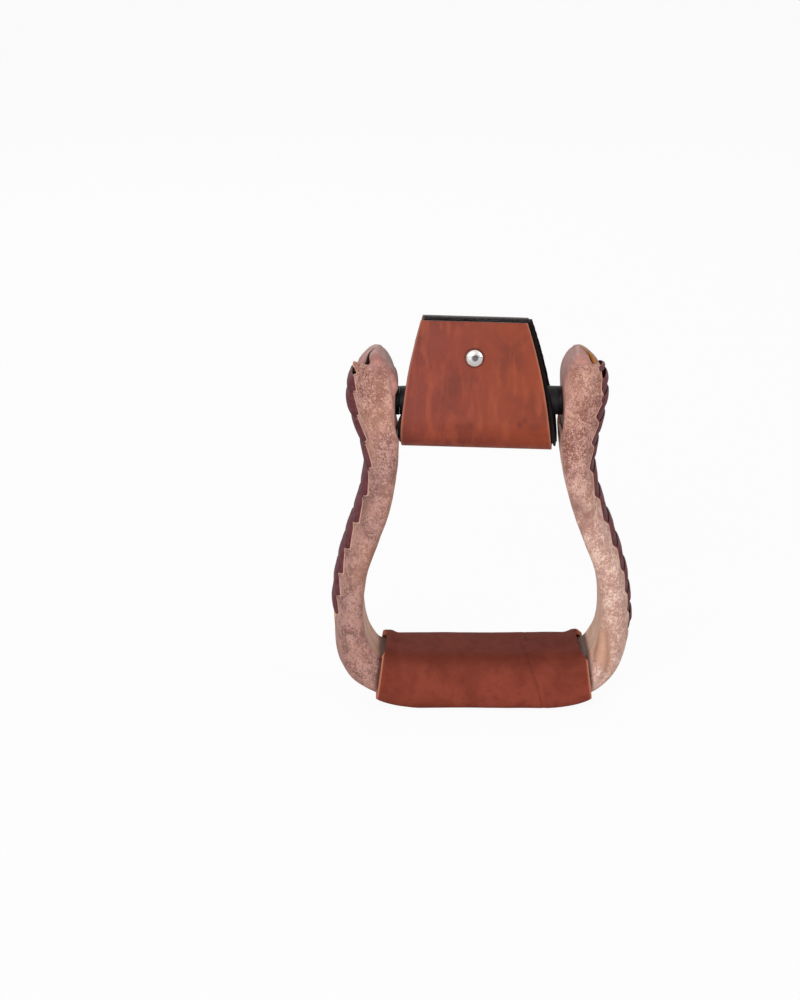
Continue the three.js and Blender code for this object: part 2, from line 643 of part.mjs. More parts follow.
// The strip's trapezoid outline, seen from the front, as a bar along Y.
function keeperOutline(extra, shift) {
  const low = KEEPER_FOLD_Z - KEEPER_FOLD - KEEPER_LINING - KEEPER_LEATHER - 1;
  const top = LINING_TOP + 1;
  const bottom = [-KEEPER_HALF_BOTTOM - extra, KEEPER_HALF_BOTTOM + extra].map((x) => KEEPER_X + x);
  const upper = [-KEEPER_HALF_TOP - extra, KEEPER_HALF_TOP + extra].map((x) => KEEPER_TOP_X + x);
  const middle = [0, 1].map((n) => (bottom[n] + upper[n]) / 2 + (4 * n - 2) * KEEPER_BULGE);
  const halfway = (low + top) / 2;
  const shape = new THREE.Shape();
  shape.moveTo(bottom[0], low - 1);
  shape.lineTo(bottom[1], low - 1);
  shape.lineTo(bottom[1], low + 2);
  shape.quadraticCurveTo(middle[1], halfway, upper[1], top);
  shape.lineTo(upper[0], top);
  shape.quadraticCurveTo(middle[0], halfway, bottom[0], low + 2);
  shape.closePath();
  const bar = new THREE.ExtrudeGeometry(shape, { depth: 60, bevelEnabled: false, curveSegments: 6 });
  bar.rotateX(Math.PI / 2).translate(0, 30, 0);
  bar.applyMatrix4(new THREE.Matrix4().makeShear(0, 0, KEEPER_SKEW, 0, 0, 0));
  return solid(bar.translate(shift, 0, ROLLER_Z));
}

function barY(radius, y0, y1, sides = 16) {
  const bar = new THREE.CylinderGeometry(radius, radius, y1 - y0, sides);
  return solid(bar.translate(RIVET_X, (y0 + y1) / 2, ROLLER_Z + RIVET_Z));
}

function keeperLeather() {
  const layer = keeperLayer(KEEPER_LINING + GAP, KEEPER_LEATHER, KEEPER_TOP);
  return layer.intersect(keeperOutline(0, 0)).subtract(barY(RIVET.hole, -30, 30));
}

function keeperLining() {
  const layer = keeperLayer(0, KEEPER_LINING, LINING_TOP);
  return layer.intersect(keeperOutline(0.3, LINING_SHIFT)).subtract(barY(RIVET.hole, -30, 30));
}

// Half the keeper's thickness where the rivet goes through it.
const KEEPER_LEAN = Math.asin((KEEPER_FOLD - GAP) / (LINING_TOP - KEEPER_FOLD_Z));
const KEEPER_AT_RIVET =
  (KEEPER_FOLD + KEEPER_LINING + GAP + KEEPER_LEATHER) / Math.cos(KEEPER_LEAN) -
  (RIVET_Z - KEEPER_FOLD_Z) * Math.tan(KEEPER_LEAN);

function rivetCap() {
  const profile = [new THREE.Vector2(0, -0.01), new THREE.Vector2(RIVET.cap, 0)];
  const bulge = (RIVET.cap ** 2 + RIVET.dome ** 2) / (2 * RIVET.dome);
  const steps = 5;
  for (let i = 1; i <= steps; i++) {
    const angle = Math.asin(RIVET.cap / bulge) * (1 - i / steps);
    profile.push(new THREE.Vector2(bulge * Math.sin(angle), bulge * Math.cos(angle) - bulge + RIVET.dome));
  }
  profile[0].y = 0;
  const dome = new THREE.LatheGeometry(profile, 20).rotateZ(Math.PI);
  const face = -KEEPER_AT_RIVET - 0.9;
  const cap = solid(dome.translate(RIVET_X, face, ROLLER_Z + RIVET_Z));
  return cap.add(barY(RIVET.post, face - 0.5, KEEPER_AT_RIVET + 2.4, 12));
}

function rivetBurr() {
  const face = KEEPER_AT_RIVET + 0.9;
  return barY(4.2, face, face + 1.1, 18).subtract(barY(RIVET.hole, face - 1, face + 3, 12));
}

// The finished stirrup

const stirrup = new THREE.Group();

const frame = new THREE.Group();
frame.add(mesh("wood_bow", woodBow(), WOOD));
frame.add(mesh("tread_sleeve", treadSleeve(), TREAD_LEATHER));
for (const [side, name] of [
  [-1, "left"],
  [1, "right"],
]) {
  frame.add(mesh("rawhide_cover_" + name, rawhideCover(side), RAWHIDE_SKIN));
  frame.add(mesh("rawhide_cap_" + name, rawhideCap(side), RAWHIDE_CAP));
  frame.add(mesh("lace_" + name, lace(side), LACE));
  const inner = side > 0 ? WASHER_X - WASHER.thick : -WASHER_X;
  frame.add(mesh("roller_washer_" + name, washer(WASHER, inner), STEEL));
  const outer = side > 0 ? RECESS_X + GAP : -RECESS_X - GAP - SEAT_WASHER.thick;
  frame.add(mesh("seat_washer_" + name, washer(SEAT_WASHER, outer), STEEL));
}
frame.add(mesh("stirrup_bolt", stirrupBolt(), STEEL));
frame.add(mesh("bolt_nut", boltNut(), STEEL));

const roller = new THREE.Group();
roller.add(mesh("roller_sleeve", rollerSleeve(), ROLLER_RUBBER));

const keeper = new THREE.Group();
keeper.add(mesh("keeper_leather", keeperLeather(), KEEPER_SKIN));
keeper.add(mesh("keeper_lining", keeperLining(), BLACK_LINING));
keeper.add(mesh("rivet_cap", rivetCap(), NICKEL));
keeper.add(mesh("rivet_burr", rivetBurr(), NICKEL));

// The lean carries the widest part of the bow to the right of the neck, so all of it moves back by
// that much, and the origin lies under the middle.
const BELLY_Z = 48;
stirrup.add(frame, roller, keeper);
stirrup.position.x = -LEAN * (1 - BELLY_Z / ROLLER_Z);

export default stirrup;
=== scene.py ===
# %% [markdown]
# # A rawhide western stirrup
# The stirrup is a bow of bent wood. Rawhide is wrapped wet round both limbs and laced along the outside,
# a leather sleeve covers the tread, and a leather keeper is folded round the roller that the stirrup
# leather hangs from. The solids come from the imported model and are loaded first. They stay where they
# are, and each new piece is laid on the same curves, so it fits without any moving about.

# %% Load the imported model
import math
import random
from bisect import bisect_left
from functools import lru_cache

import bmesh
import bpy
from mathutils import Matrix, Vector, noise


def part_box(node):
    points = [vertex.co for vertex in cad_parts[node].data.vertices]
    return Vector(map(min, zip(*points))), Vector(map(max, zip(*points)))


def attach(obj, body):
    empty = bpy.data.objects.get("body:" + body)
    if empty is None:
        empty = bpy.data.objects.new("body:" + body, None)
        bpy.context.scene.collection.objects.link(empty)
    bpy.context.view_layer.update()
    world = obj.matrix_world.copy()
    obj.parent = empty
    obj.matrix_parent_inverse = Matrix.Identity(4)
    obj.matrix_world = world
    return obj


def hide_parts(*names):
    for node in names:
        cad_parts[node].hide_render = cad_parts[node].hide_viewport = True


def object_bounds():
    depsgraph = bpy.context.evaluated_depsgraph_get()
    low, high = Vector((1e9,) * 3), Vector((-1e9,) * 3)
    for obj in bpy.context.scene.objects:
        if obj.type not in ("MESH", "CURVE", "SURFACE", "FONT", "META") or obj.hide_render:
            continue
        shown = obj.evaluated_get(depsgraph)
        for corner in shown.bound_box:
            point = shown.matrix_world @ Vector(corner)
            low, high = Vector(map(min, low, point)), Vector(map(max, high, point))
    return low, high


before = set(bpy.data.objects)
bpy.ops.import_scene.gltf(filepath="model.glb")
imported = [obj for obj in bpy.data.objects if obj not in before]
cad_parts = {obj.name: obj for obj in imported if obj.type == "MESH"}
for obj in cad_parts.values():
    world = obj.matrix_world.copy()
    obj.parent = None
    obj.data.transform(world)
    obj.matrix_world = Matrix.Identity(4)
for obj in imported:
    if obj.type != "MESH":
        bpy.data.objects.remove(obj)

solids_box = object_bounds()
print("solids from", *[round(v, 4) for v in solids_box[0]], "to", *[round(v, 4) for v in solids_box[1]])

# %% [markdown]
# ## The camera
# The photograph looks straight at the front, from a little above. A long lens from just over a metre
# away keeps the near and far edges almost the same size, as in the photograph.

# %% Camera
TARGET = Vector((-0.0442, 0.0, 0.1142))
ELEVATION = math.radians(18.4)
DISTANCE = 1.136
back = Vector((0.0, -math.cos(ELEVATION), math.sin(ELEVATION)))
lens = bpy.data.cameras.new("camera")
lens.lens = 76.9
lens.sensor_width = 36.0
lens.clip_start, lens.clip_end = 0.05, 30.0
camera = bpy.data.objects.new("camera", lens)
camera.rotation_mode = "QUATERNION"
camera.location = TARGET + back * DISTANCE
camera.rotation_quaternion = (-back).to_track_quat("-Z", "Y")
bpy.context.scene.collection.objects.link(camera)
bpy.context.scene.camera = camera
print("camera at", *[round(v, 3) for v in camera.location])

# %% [markdown]
# ## Materials from small expressions
# A finish is a tree of shader nodes. Wiring each node by hand hides the idea, so one small class wraps a
# socket and gives it Python's operators: `1 - mask * 0.5` then adds the Math nodes by itself. Any other
# node comes from one method. Colours go through Mix nodes, because a Math node would turn them grey.

# %% Values with operators
class Value:
    """One output socket of a tree. Sums and products of values add Math nodes."""

    def __init__(self, nodes, socket):
        self.nodes = nodes
        self.socket = socket

    def _math(self, operation, *parts):
        return self.nodes.node("ShaderNodeMath", {"operation": operation}, dict(enumerate(parts)))

    def __add__(self, other):
        return self._math("ADD", self, other)

    def __sub__(self, other):
        return self._math("SUBTRACT", self, other)

    def __rsub__(self, other):
        return self._math("SUBTRACT", other, self)

    def __mul__(self, other):
        return self._math("MULTIPLY", self, other)

    def __pow__(self, other):
        return self._math("POWER", self, other)

    __radd__ = __add__

    def most(self, other):
        return self._math("MAXIMUM", self, other)

    def size(self):
        return self._math("ABSOLUTE", self)

    def ramp(self, low, high):
        """0 below low and 1 above high, smoothly."""
        settings = {"interpolation_type": "SMOOTHSTEP"}
        return self.nodes.node("ShaderNodeMapRange", settings, {0: self, 1: low, 2: high})


class Nodes:
    """A tree of nodes, of a material or of the world."""

    def __init__(self, tree):
        self.tree = tree

    def node(self, kind, settings, sockets, output=0):
        made = self.tree.nodes.new(kind)
        for key, value in settings.items():
            setattr(made, key, value)
        for place, value in sockets.items():
            if isinstance(value, Value):
                self.tree.links.new(value.socket, made.inputs[place])
            else:
                made.inputs[place].default_value = value
        return Value(self, made.outputs[output])

    def surface(self, output, first, second, factor):
        """Ends the tree in a mix of two shaders."""
        mixed = self.node("ShaderNodeMixShader", {}, {0: factor, 1: first, 2: second})
        self.tree.links.new(mixed.socket, self.tree.nodes[output].inputs["Surface"])


def paint(red, green, blue):
    """A colour written as it looks on a screen, 0 to 255, as Blender's linear colour."""
    def linear(c):
        c /= 255
        return c / 12.92 if c <= 0.04045 else ((c + 0.055) / 1.055) ** 2.4
    return (linear(red), linear(green), linear(blue), 1.0)


class Finish(Nodes):
    """A material with one main shader."""

    def __init__(self, name, **constants):
        self.material = bpy.data.materials.new(name)
        self.material.use_nodes = True
        super().__init__(self.material.node_tree)
        self.shader = self.tree.nodes["Principled BSDF"]
        for socket, value in constants.items():
            self.shader.inputs[socket.replace("_", " ")].default_value = value

    def coordinates(self, stretch=(1, 1, 1), kind="Object"):
        """Object coordinates in metres, squeezed along an axis where a pattern is longer that way."""
        place = self.node("ShaderNodeTexCoord", {}, {}, kind)
        return self.node("ShaderNodeMapping", {}, {"Vector": place, "Scale": stretch})

    def laid(self, stretch):
        """The piece's own UV map, laid in metres."""
        return self.coordinates(stretch, "UV")

    def part(self, axis):
        """Object coordinates along one axis, counted from 0."""
        return self.node("ShaderNodeSeparateXYZ", {}, {0: self.coordinates()}, axis)

    def from_axis(self, x, z):
        """Distance in metres from a line that runs front to rear, given by its x and z in millimetres."""
        across, up = self.part(0) - x * 0.001, self.part(2) - z * 0.001
        return (across * across + up * up) ** 0.5

    def noise(self, size, detail=2.0, roughness=0.5, distortion=0.0, at=None):
        """Cloudy noise from 0 to 1. size is the width of its patches in metres."""
        sockets = {"Scale": 1 / size, "Detail": detail, "Roughness": roughness, "Distortion": distortion}
        sockets["Vector"] = at or self.coordinates()
        return self.node("ShaderNodeTexNoise", {}, sockets)

    def cells(self, size):
        """Distance to the middle of the nearest cell, as a grain of pores."""
        return self.node("ShaderNodeTexVoronoi", {}, {"Scale": 1 / size, "Vector": self.coordinates()})

    def mark(self, name):
        """A number stored at each point of the mesh."""
        return self.node("ShaderNodeAttribute", {"attribute_name": name}, {}, 2)

    def mix(self, factor, first, second):
        """From the first colour to the second, as factor goes from 0 to 1."""
        first, second = (c if isinstance(c, Value) else paint(*c) for c in (first, second))
        return self.node("ShaderNodeMix", {"data_type": "RGBA"}, {0: factor, 6: first, 7: second}, 2)

    def coats(self, base, *coats):
        """Lays coats over a base colour, each with a factor from 0 to 1."""
        for factor, colour in coats:
            base = self.mix(factor, base, colour)
        return base

    def set(self, socket, value):
        self.tree.links.new(value.socket, self.shader.inputs[socket])

    def colour(self, base, *coats):
        self.set("Base Color", self.coats(base, *coats))

    def bumps(self, height, depth, strength=1.0):
        """Small relief. height is from 0 to 1 and depth its full depth in metres."""
        sockets = {"Strength": strength, "Distance": depth, "Height": height}
        self.set("Normal", self.node("ShaderNodeBump", {}, sockets))


def fibrous(name, size, first, second, depth=0.0002, strength=0.5, rough=0.6, **constants):
    """A finish of two colours, mixed by small fibres or crystals that also give the relief."""
    finish = Finish(name, **constants)
    finish.fibre = finish.noise(size, 3.0, rough)
    finish.colour(finish.mix(finish.fibre, first, second))
    finish.bumps(finish.fibre, depth, strength)
    return finish


print("ready to make finishes")

# %% [markdown]
# ## The bow's own coordinates
# Every layer of the stirrup follows the bent wood, so one set of curves places all of them. A station
# number runs along the bow: 0 is the middle of the tread and 17 the top of a limb. Round the section, a
# length is measured from the crest, which is the outside of the limb where the lacing lies. The numbers
# are those of the solid model, in millimetres.

# %% Curves of the bow
MM = 0.001
# middle of the section x and z, thickness, half depth, squareness of the crown, share of straight wall
BOW = [
    (0, 15.95, 22.3, 16.8, 4.5, 0.5),
    (20, 15.95, 22.3, 16.8, 4.5, 0.5),
    (38, 16.1, 22.2, 16.8, 4.5, 0.5),
    (51.3, 17.7, 20.1, 16.8, 4, 0.5),
    (62.2, 23.1, 17.2, 16.8, 2.8, 0.46),
    (68.4, 33, 14.8, 17, 2.1, 0.43),
    (71.2, 45, 13.1, 17, 2, 0.42),
    (71.2, 61, 12, 17, 2, 0.42),
    (68.3, 79, 12, 17, 2, 0.42),
    (61.9, 98, 13, 17, 2, 0.42),
    (55.4, 117, 12.7, 17, 2, 0.42),
    (51.7, 135.5, 12.9, 17, 2, 0.42),
    (52, 152.5, 16.4, 17, 2, 0.42),
    (53.9, 170, 20.4, 17, 2, 0.42),
    (54, 182, 20.9, 17, 2, 0.42),
    (54.5, 190, 16.8, 16.4, 2.1, 0.44),
    (54.6, 194.2, 10.8, 14.8, 2.2, 0.46),
    (54.4, 196.4, 5.6, 12, 2.3, 0.46),
]
X, Z, THICK, HALF, SQUARE, WALL = range(6)
LIMB_TOP = len(BOW) - 1
BOARD_CORNER, LIMB_CORNER = 5.5, 3.5  # radius along the edges of the flat face
LEAN = 4.2  # the tread stands this far to the right of the neck
ROLLER_Z = 169.3
BELLY_Z = 48
NECK_X = -LEAN * (1 - BELLY_Z / ROLLER_Z)

GAP = 0.3
RAWHIDE = 1.5
COVER_OUT = GAP + RAWHIDE
SIDES = ((-1, "left"), (1, "right"))


def lerp(a, b, f):
    return a + (b - a) * f


def smooth(x, low, high):
    f = min(1.0, max(0.0, (x - low) / (high - low)))
    return f * f * (3 - 2 * f)


def fade(x, low, high):
    return 1 - smooth(x, low, high)


def bell(x):
    return math.exp(-(x ** 2))


def curve(a, b, c, d, f):
    """From b to c as f goes from 0 to 1, on a smooth curve through all four."""
    return b + 0.5 * f * (c - a + f * (2 * a - 5 * b + 4 * c - d + f * (3 * (b - c) + d - a)))


def quarter_turn(steps):
    """Angles from 0 to a right angle."""
    return [math.pi / 2 * i / steps for i in range(steps + 1)]


def step_below(steps, wanted, key=None):
    """Place of the last step below a wanted value, in a rising list."""
    return min(max(bisect_left(steps, wanted, key=key) - 1, 0), len(steps) - 2)


@lru_cache(maxsize=None)
def bow_value(column, station):
    def at(n):
        if n < 0:
            return (-1 if column == X else 1) * BOW[-n][column]
        if n > LIMB_TOP:
            return 2 * BOW[LIMB_TOP][column] - BOW[LIMB_TOP - 1][column]
        return BOW[n][column]
    away = abs(station)
    i = min(int(away), LIMB_TOP - 1)
    value = curve(*(at(i + n) for n in (-1, 0, 1, 2)), away - i)
    return -value if column == X and station < 0 else value


@lru_cache(maxsize=None)
def bow_frame(station):
    """Middle of the section, direction along the bow and direction out of it, as x and z."""
    dx = bow_value(X, station + 0.02) - bow_value(X, station - 0.02)
    dz = bow_value(Z, station + 0.02) - bow_value(Z, station - 0.02)
    length = math.hypot(dx, dz)
    along = (dx / length, dz / length)
    return bow_value(X, station), bow_value(Z, station), along, (along[1], -along[0])


def bow_point(station, lateral, height, grow=0.0):
    """A point in metres from its place in the section, in millimetres."""
    x, z, along, out = bow_frame(station)
    near_top = max(0, abs(station) - (LIMB_TOP - 2)) / 2
    end = math.copysign(near_top * grow, station)
    px = x + out[0] * height + along[0] * end
    pz = z + out[1] * height + along[1] * end
    return Vector((px + LEAN * (1 - pz / ROLLER_Z) + NECK_X, lateral, pz)) * MM


def crown(station, grow):
    """Thickness, base and height of the crown, squareness and half depth of a section."""
    thick = bow_value(THICK, station)
    base = -thick / 2 + bow_value(WALL, station) * thick
    return thick, base, thick / 2 - base + grow, bow_value(SQUARE, station), bow_value(HALF, station) + grow


@lru_cache(maxsize=None)
def section(station, grow, lift=0.0):
    """Half a section from the crest to the middle of the flat face, as (length, lateral, height)."""
    thick, base, high, square, reach = crown(station, grow)
    flat = -thick / 2 - grow - lift
    on_board = smooth(5 - abs(station), 0, 2)
    corner = min(lerp(LIMB_CORNER, BOARD_CORNER, on_board), 0.4 * thick) + grow
    outline = []
    for angle in quarter_turn(48):
        outline.append((
            reach * math.sin(angle) ** (2 / square),
            base + high * max(0.0, math.cos(angle)) ** (2 / square),
        ))
    for angle in quarter_turn(8):
        outline.append((reach - corner * (1 - math.cos(angle)), flat + corner * (1 - math.sin(angle))))
    outline.append((0.0, flat))
    length = 0.0
    points = [(0.0, *outline[0])]
    for (a, b), (c, d) in zip(outline, outline[1:]):
        step = math.hypot(c - a, d - b)
        if step > 1e-6:
            length += step
            points.append((length, c, d))
    return points


def half_round(station, grow, lift=0.0):
    """Length from the crest to the middle of the flat face."""
    return section(station, grow, lift)[-1][0]


def on_section(station, round_at, grow, off=0.0, lift=0.0):
    """The point at a length from the crest, negative at the front, moved off along its normal."""
    points = section(station, grow, lift)
    wanted = min(abs(round_at), points[-1][0])
    i = step_below(points, wanted, lambda point: point[0])
    (l0, a0, h0), (l1, a1, h1) = points[i:i + 2]
    f = (wanted - l0) / (l1 - l0)
    lateral, height = lerp(a0, a1, f), lerp(h0, h1, f)
    lateral -= off * (h1 - h0) / (l1 - l0)
    height += off * (a1 - a0) / (l1 - l0)
    return bow_point(station, math.copysign(lateral, round_at), height, grow)


def crest(station):
    """A point of the wood's crest."""
    _, base, high, _, _ = crown(station, 0)
    return bow_point(station, 0, base + high)


# Length along the crest of a limb, from the tread's middle up.
LENGTHS = [0.0]
STEPS = 60
for step in range(STEPS * LIMB_TOP):
    LENGTHS.append(LENGTHS[-1] + (crest((step + 1) / STEPS) - crest(step / STEPS)).length / MM)


def length_at(station):
    i = min(int(station * STEPS), len(LENGTHS) - 2)
    return lerp(LENGTHS[i], LENGTHS[i + 1], station * STEPS - i)


def station_at(length):
    i = step_below(LENGTHS, length)
    return round((i + (length - LENGTHS[i]) / (LENGTHS[i + 1] - LENGTHS[i])) / STEPS, 5)


print("the crest of one limb is", round(LENGTHS[-1], 1), "mm long")

# %% [markdown]
# ## Sheets and bands
# Hide and leather are flat before they are used. So each skin starts as a flat grid, whose points are
# then carried to their places on the stirrup. The grid also keeps its flat measures as a UV map, which a
# finish can read, and numbers that mark zones such as a cut edge. Modifiers give the thickness and
# round the edges.

# %% Sheets, bands and pieces
def flat_sheet(columns, rows, place, lay, marks):
    """A grid of faces. place(u, v) gives each point, lay(u, v) its flat place in metres and marks(u, v)
    its numbers."""
    bm = bmesh.new()
    uv = bm.loops.layers.uv.new("UVMap")
    bmesh.ops.create_grid(bm, x_segments=columns, y_segments=rows, size=0.5)
    layers = {name: bm.verts.layers.float.new(name) for name in marks(0.5, 0.5)}
    flat = {}
    for vert in bm.verts:
        u, v = vert.co.x + 0.5, vert.co.y + 0.5
        flat[vert] = lay(u, v)
        for name, number in marks(u, v).items():
            vert[layers[name]] = number
        vert.co = place(u, v)
    for face in bm.faces:
        for loop in face.loops:
            loop[uv].uv = flat[loop.vert]
    bm.normal_update()
    return bm


def evenly(width, height):
    """The flat places of a rectangle of a size in metres."""
    return lambda u, v: (u * width, v * height)


def face_out(bm, place, u, v):
    """Turns the whole sheet over if its face nearest to a place looks inwards."""
    point = place(u, v)
    nearest = min(bm.faces, key=lambda face: (face.calc_center_median() - point).length)
    if nearest.normal.dot(place(u, v, 5.0) - point) < 0:
        bmesh.ops.reverse_faces(bm, faces=bm.faces)
    bm.normal_update()


def add_object(name, data):
    """Makes an object of a mesh or a lamp and puts it into the scene."""
    made = bpy.data.objects.new(name, data)
    bpy.context.scene.collection.objects.link(made)
    return made


def piece(name, bm, body, slot, finishes, nodes, sharp=None):
    """Makes an object of a bmesh, rides it on a body and hides the solids that it stands for."""
    mesh = bpy.data.meshes.new(name)
    for face in bm.faces:
        face.smooth = True
    if sharp is not None:
        for edge in bm.edges:
            if edge.is_manifold and edge.calc_face_angle() > math.radians(sharp):
                edge.smooth = False
    bm.to_mesh(mesh)
    bm.free()
    for finish in finishes:
        mesh.materials.append(finish.material)
    made = add_object(name, mesh)
    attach(made, body)
    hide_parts(*nodes)
    print(name, "has", len(mesh.polygons), "faces")
    return made


def thicken(made, thickness, rounding):
    """Adds the thickness inwards, with the cut edges in the second finish, and rounds the edges."""
    shell = made.modifiers.new("thickness", "SOLIDIFY")
    shell.thickness = thickness * MM
    shell.offset = -1
    shell.use_even_offset = True
    shell.material_offset_rim = 1
    soften = made.modifiers.new("rounding", "BEVEL")
    soften.width = rounding * MM
    soften.segments = 2
    soften.limit_method = "ANGLE"
    soften.angle_limit = math.radians(50)
    soften.use_clamp_overlap = True


def wander(place, size, seed=0.0):
    """Smooth noise from -1 to 1 at a place in metres, with patches of a size in millimetres."""
    return noise.noise(place / (size * MM) + Vector((seed, 0.0, 0.0)))


print("ready to make sheets")

# %% [markdown]
# ## Rawhide
# Rawhide dries hard and pale, with a mottled surface where the hair was scraped off. The mottling is
# strongest high on the limbs and turns greyer and finer towards the tread. Where the hide faces the
# foot it is rubbed smooth, and at the rear it is a plain tan with a few brown blotches. Three sizes of
# noise make the mottling, and marks on the mesh say which zone each point is in.

# %% Finish of the rawhide
rawhide = Finish("rawhide", Specular_IOR_Level=0.3)
speck = rawhide.noise(0.0014, 3.0, 0.65, 0.2)
grain = rawhide.noise(0.0007, 2.0, 0.6, 0.1)
patch = rawhide.noise(0.008, 3.0, 0.55, 0.3)
cloud = rawhide.noise(0.030, 2.0, 0.5)
streak = rawhide.noise(0.004, 3.0, 0.55, 0.2, rawhide.laid((1, 0.22, 1)))
tint = rawhide.noise(0.0032, 2.0, 0.5, 0.3)
mottle = (speck * 0.6 + grain * 0.4 + (patch - 0.5) * 0.6).ramp(0.4, 0.63)
high_tone = rawhide.mix(mottle, (133, 84, 70), (208, 161, 146))
right_tone = rawhide.mix(mottle, (190, 146, 130), (242, 208, 192))
left_tone = rawhide.mix((mottle * 0.6 + streak * 0.5).ramp(0.2, 0.8), (123, 86, 77), (183, 141, 130))
low_tone = rawhide.mix(rawhide.mark("right"), left_tone, right_tone)
speckled = rawhide.coats(
    low_tone,
    (rawhide.mark("high"), high_tone),
    (cloud.ramp(0.45, 0.7) * 0.3, (206, 150, 124)),
    (tint.ramp(0.45, 0.62) * 0.35, (168, 120, 116)),
    (rawhide.mark("smooth") * 0.85, (204, 154, 128)),
    (rawhide.mark("rim") * 0.75, (172, 130, 122)),
    (rawhide.mark("blotch") * (0.35 + mottle * 0.3), (106, 62, 52)),
)
tan = rawhide.mix(patch.ramp(0.35, 0.75), (202, 152, 128), (182, 134, 112))
tan = rawhide.mix((cloud * 0.6 + speck * 0.4).ramp(0.56, 0.66) * 0.6, tan, (118, 74, 56))
rubbed = rawhide.mix(patch.ramp(0.3, 0.7), (232, 194, 172), (208, 166, 144))
rawhide.colour(
    tan,
    (rawhide.mark("front"), speckled),
    (rawhide.mark("inner") * 0.8, rubbed),
    # pale is a strip along the flaps' edges in the cut edge's own pale tone, widened as a painted highlight
    (rawhide.mark("pale") * 0.75, (234, 178, 152)),
    # fold is painted shade: in the hollows of the gathered folds, and on the hide just past the sleeve's ends
    (rawhide.mark("fold") * 0.85, (66, 38, 31)),
)
rawhide.set("Roughness", 0.52 + mottle * 0.16)
rawhide.bumps(speck * 0.6 + grain * 0.4, 0.00025, 0.45)

cut_hide = fibrous("cut edge of the rawhide", 0.0015, (236, 176, 148), (206, 140, 112), Roughness=0.55)
print("rawhide finish made")

# %% [markdown]
# ## The laced covers
# Each cover is one hide, wrapped from the crest round the flat inner face and back to the crest. Its two
# flaps are punched for the lace, and drying hide pulls each hole into a wide bite with a cusp on either
# side. The grid is finest near the flaps' edges. Its rows are a twentieth of a stitch apart, so that each
# bite gets a smooth curve. At the inner top, a corner of the hide is cut away by sloping planes.

# %% Places of the stitches
STITCHES = {-1: 10, 1: 11}
# how far each stitch lies below its even place, in stitches, as the lace was pulled tight by hand
UNEVEN = (0, -0.28, -0.15, -0.1, 0, 0.15, 0.27, 0.38, 0.45, 0.42, 0.22, 0)
FLAP_EDGE = 6.4  # from the lacing's middle to the cut edge of a flap
FLAP_BUTT = 0.4  # the same below the lacing, where the flaps meet
BITE = 4.3
DEEPEST = {-1: 0.78, 1: 0.62}  # where a bite is deepest, as a share of its length
CUSP = 2.8  # how far a cusp of the left front flap reaches past the flap's edge
LACING_TOP = 14.15
LACING_END = 5.87
FIRST = length_at(LACING_TOP)
PITCH = (FIRST - length_at(LACING_END)) / STITCHES[1]
COVER_END = length_at(2.55)
COVER_TOP = length_at(15.5)
REAR_LOWER = 9.0  # the rear flap's top edge is cut this much lower
FULL_HALF = 40.0  # from a flap's edge to the middle of the flat face, where the limb is slim


def stitch_length(count):
    """Length down from the first stitch to a place counted in stitches."""
    i = min(max(math.floor(count), 0), len(UNEVEN) - 2)
    return (count + lerp(UNEVEN[i], UNEVEN[i + 1], count - i)) * PITCH


@lru_cache(maxsize=None)
def stitch_count(down):
    """The place in stitches at a length down from the first stitch."""
    count = down / PITCH
    for _ in range(8):
        count -= stitch_length(count) / PITCH - down / PITCH
    return count


def lacing_line(side, station):
    """Length from the crest to the lacing's middle, negative where it lies to the front."""
    if side < 0:
        return lerp(-4.0, -1.4, smooth(station, 11.2, 12.8))
    return lerp(lerp(-1.5, -2.6, smooth(station, 6, 8)), -4.6, smooth(station, 11.8, 13.6))


def flap_edge(side, station):
    """From the lacing's middle to a flap's edge."""
    opening = LACING_END + (0.13 if side > 0 else 0.88)
    return lerp(FLAP_BUTT, FLAP_EDGE, smooth(station, opening - 0.75, opening))


def early(side, count):
    """How much higher the front holes of the left limb are, in stitches."""
    return 0.25 * fade(count, 3, 8) if side < 0 else 0.0


def bite(side, down, rear):
    """How far a flap's edge is drawn back, at a length down from the first stitch."""
    count = stitch_count(down)
    count -= 0.0 if rear else 0.5 - early(side, count)
    nearest = round(count)
    t = count - nearest + 0.5
    if side < 0 and not rear and count < -0.5:
        notch = abs(count + 0.78) / 0.25  # the first hole is torn out near the flap's top corner
        return BITE * max(0.0, 1 - notch ** 4)
    if not 0 <= nearest < STITCHES[side]:
        return 0.0
    if side > 0 and not rear and nearest == 0:
        return 1.6 * math.sin(math.pi * t)
    deep = BITE + (1.5 * fade(count, 3, 6) if side > 0 and not rear else 0.0)
    deepest = DEEPEST[side]
    drawn = deep * (t / deepest if t < deepest else fade(t, deepest, 1.0))
    below_last = nearest == STITCHES[side] - 1 and t > 0.5
    if side < 0 and not rear and not below_last:
        drawn -= CUSP * max(0.0, 1 - min(t, 1 - t) / 0.1)  # the hide reaches in between two pads of the lace
    return drawn


print("stitches are", round(PITCH, 2), "mm apart")

# %% Shape of a cover
FINE = 10.0  # width of the finer columns along each flap's edge
FROM_EDGE = [FINE * i / 14 for i in range(14)] + [lerp(FINE, FULL_HALF, i / 27) for i in range(28)]
COLUMNS = [-c for c in FROM_EDGE] + FROM_EDGE[-2::-1]
COVER_ROWS = round((COVER_TOP - COVER_END) / (PITCH / 20))
# the folds under the right foot space: place of each round the limb, its width and its height
GATHERS = ((23.5, 1.3, -0.8), (27.5, 2.6, 0.5), (32, 1.4, -0.75), (36.5, 2.4, 0.4))
# centres of the brown blotches, in stitches down and round the limb, and their height and width
BLOTCHES = {
    -1: ((5.0, -15, 6.0, 3.5), (2.4, -14, 3.0, 2.0)),
    1: ((4.75, -27, 4.5, 4.0), (5.15, -23, 3.0, 2.5)),
}
GREYER = {-1: (10.5, 13.0), 1: (8.0, 12.0)}  # stations between which the hide turns greyer


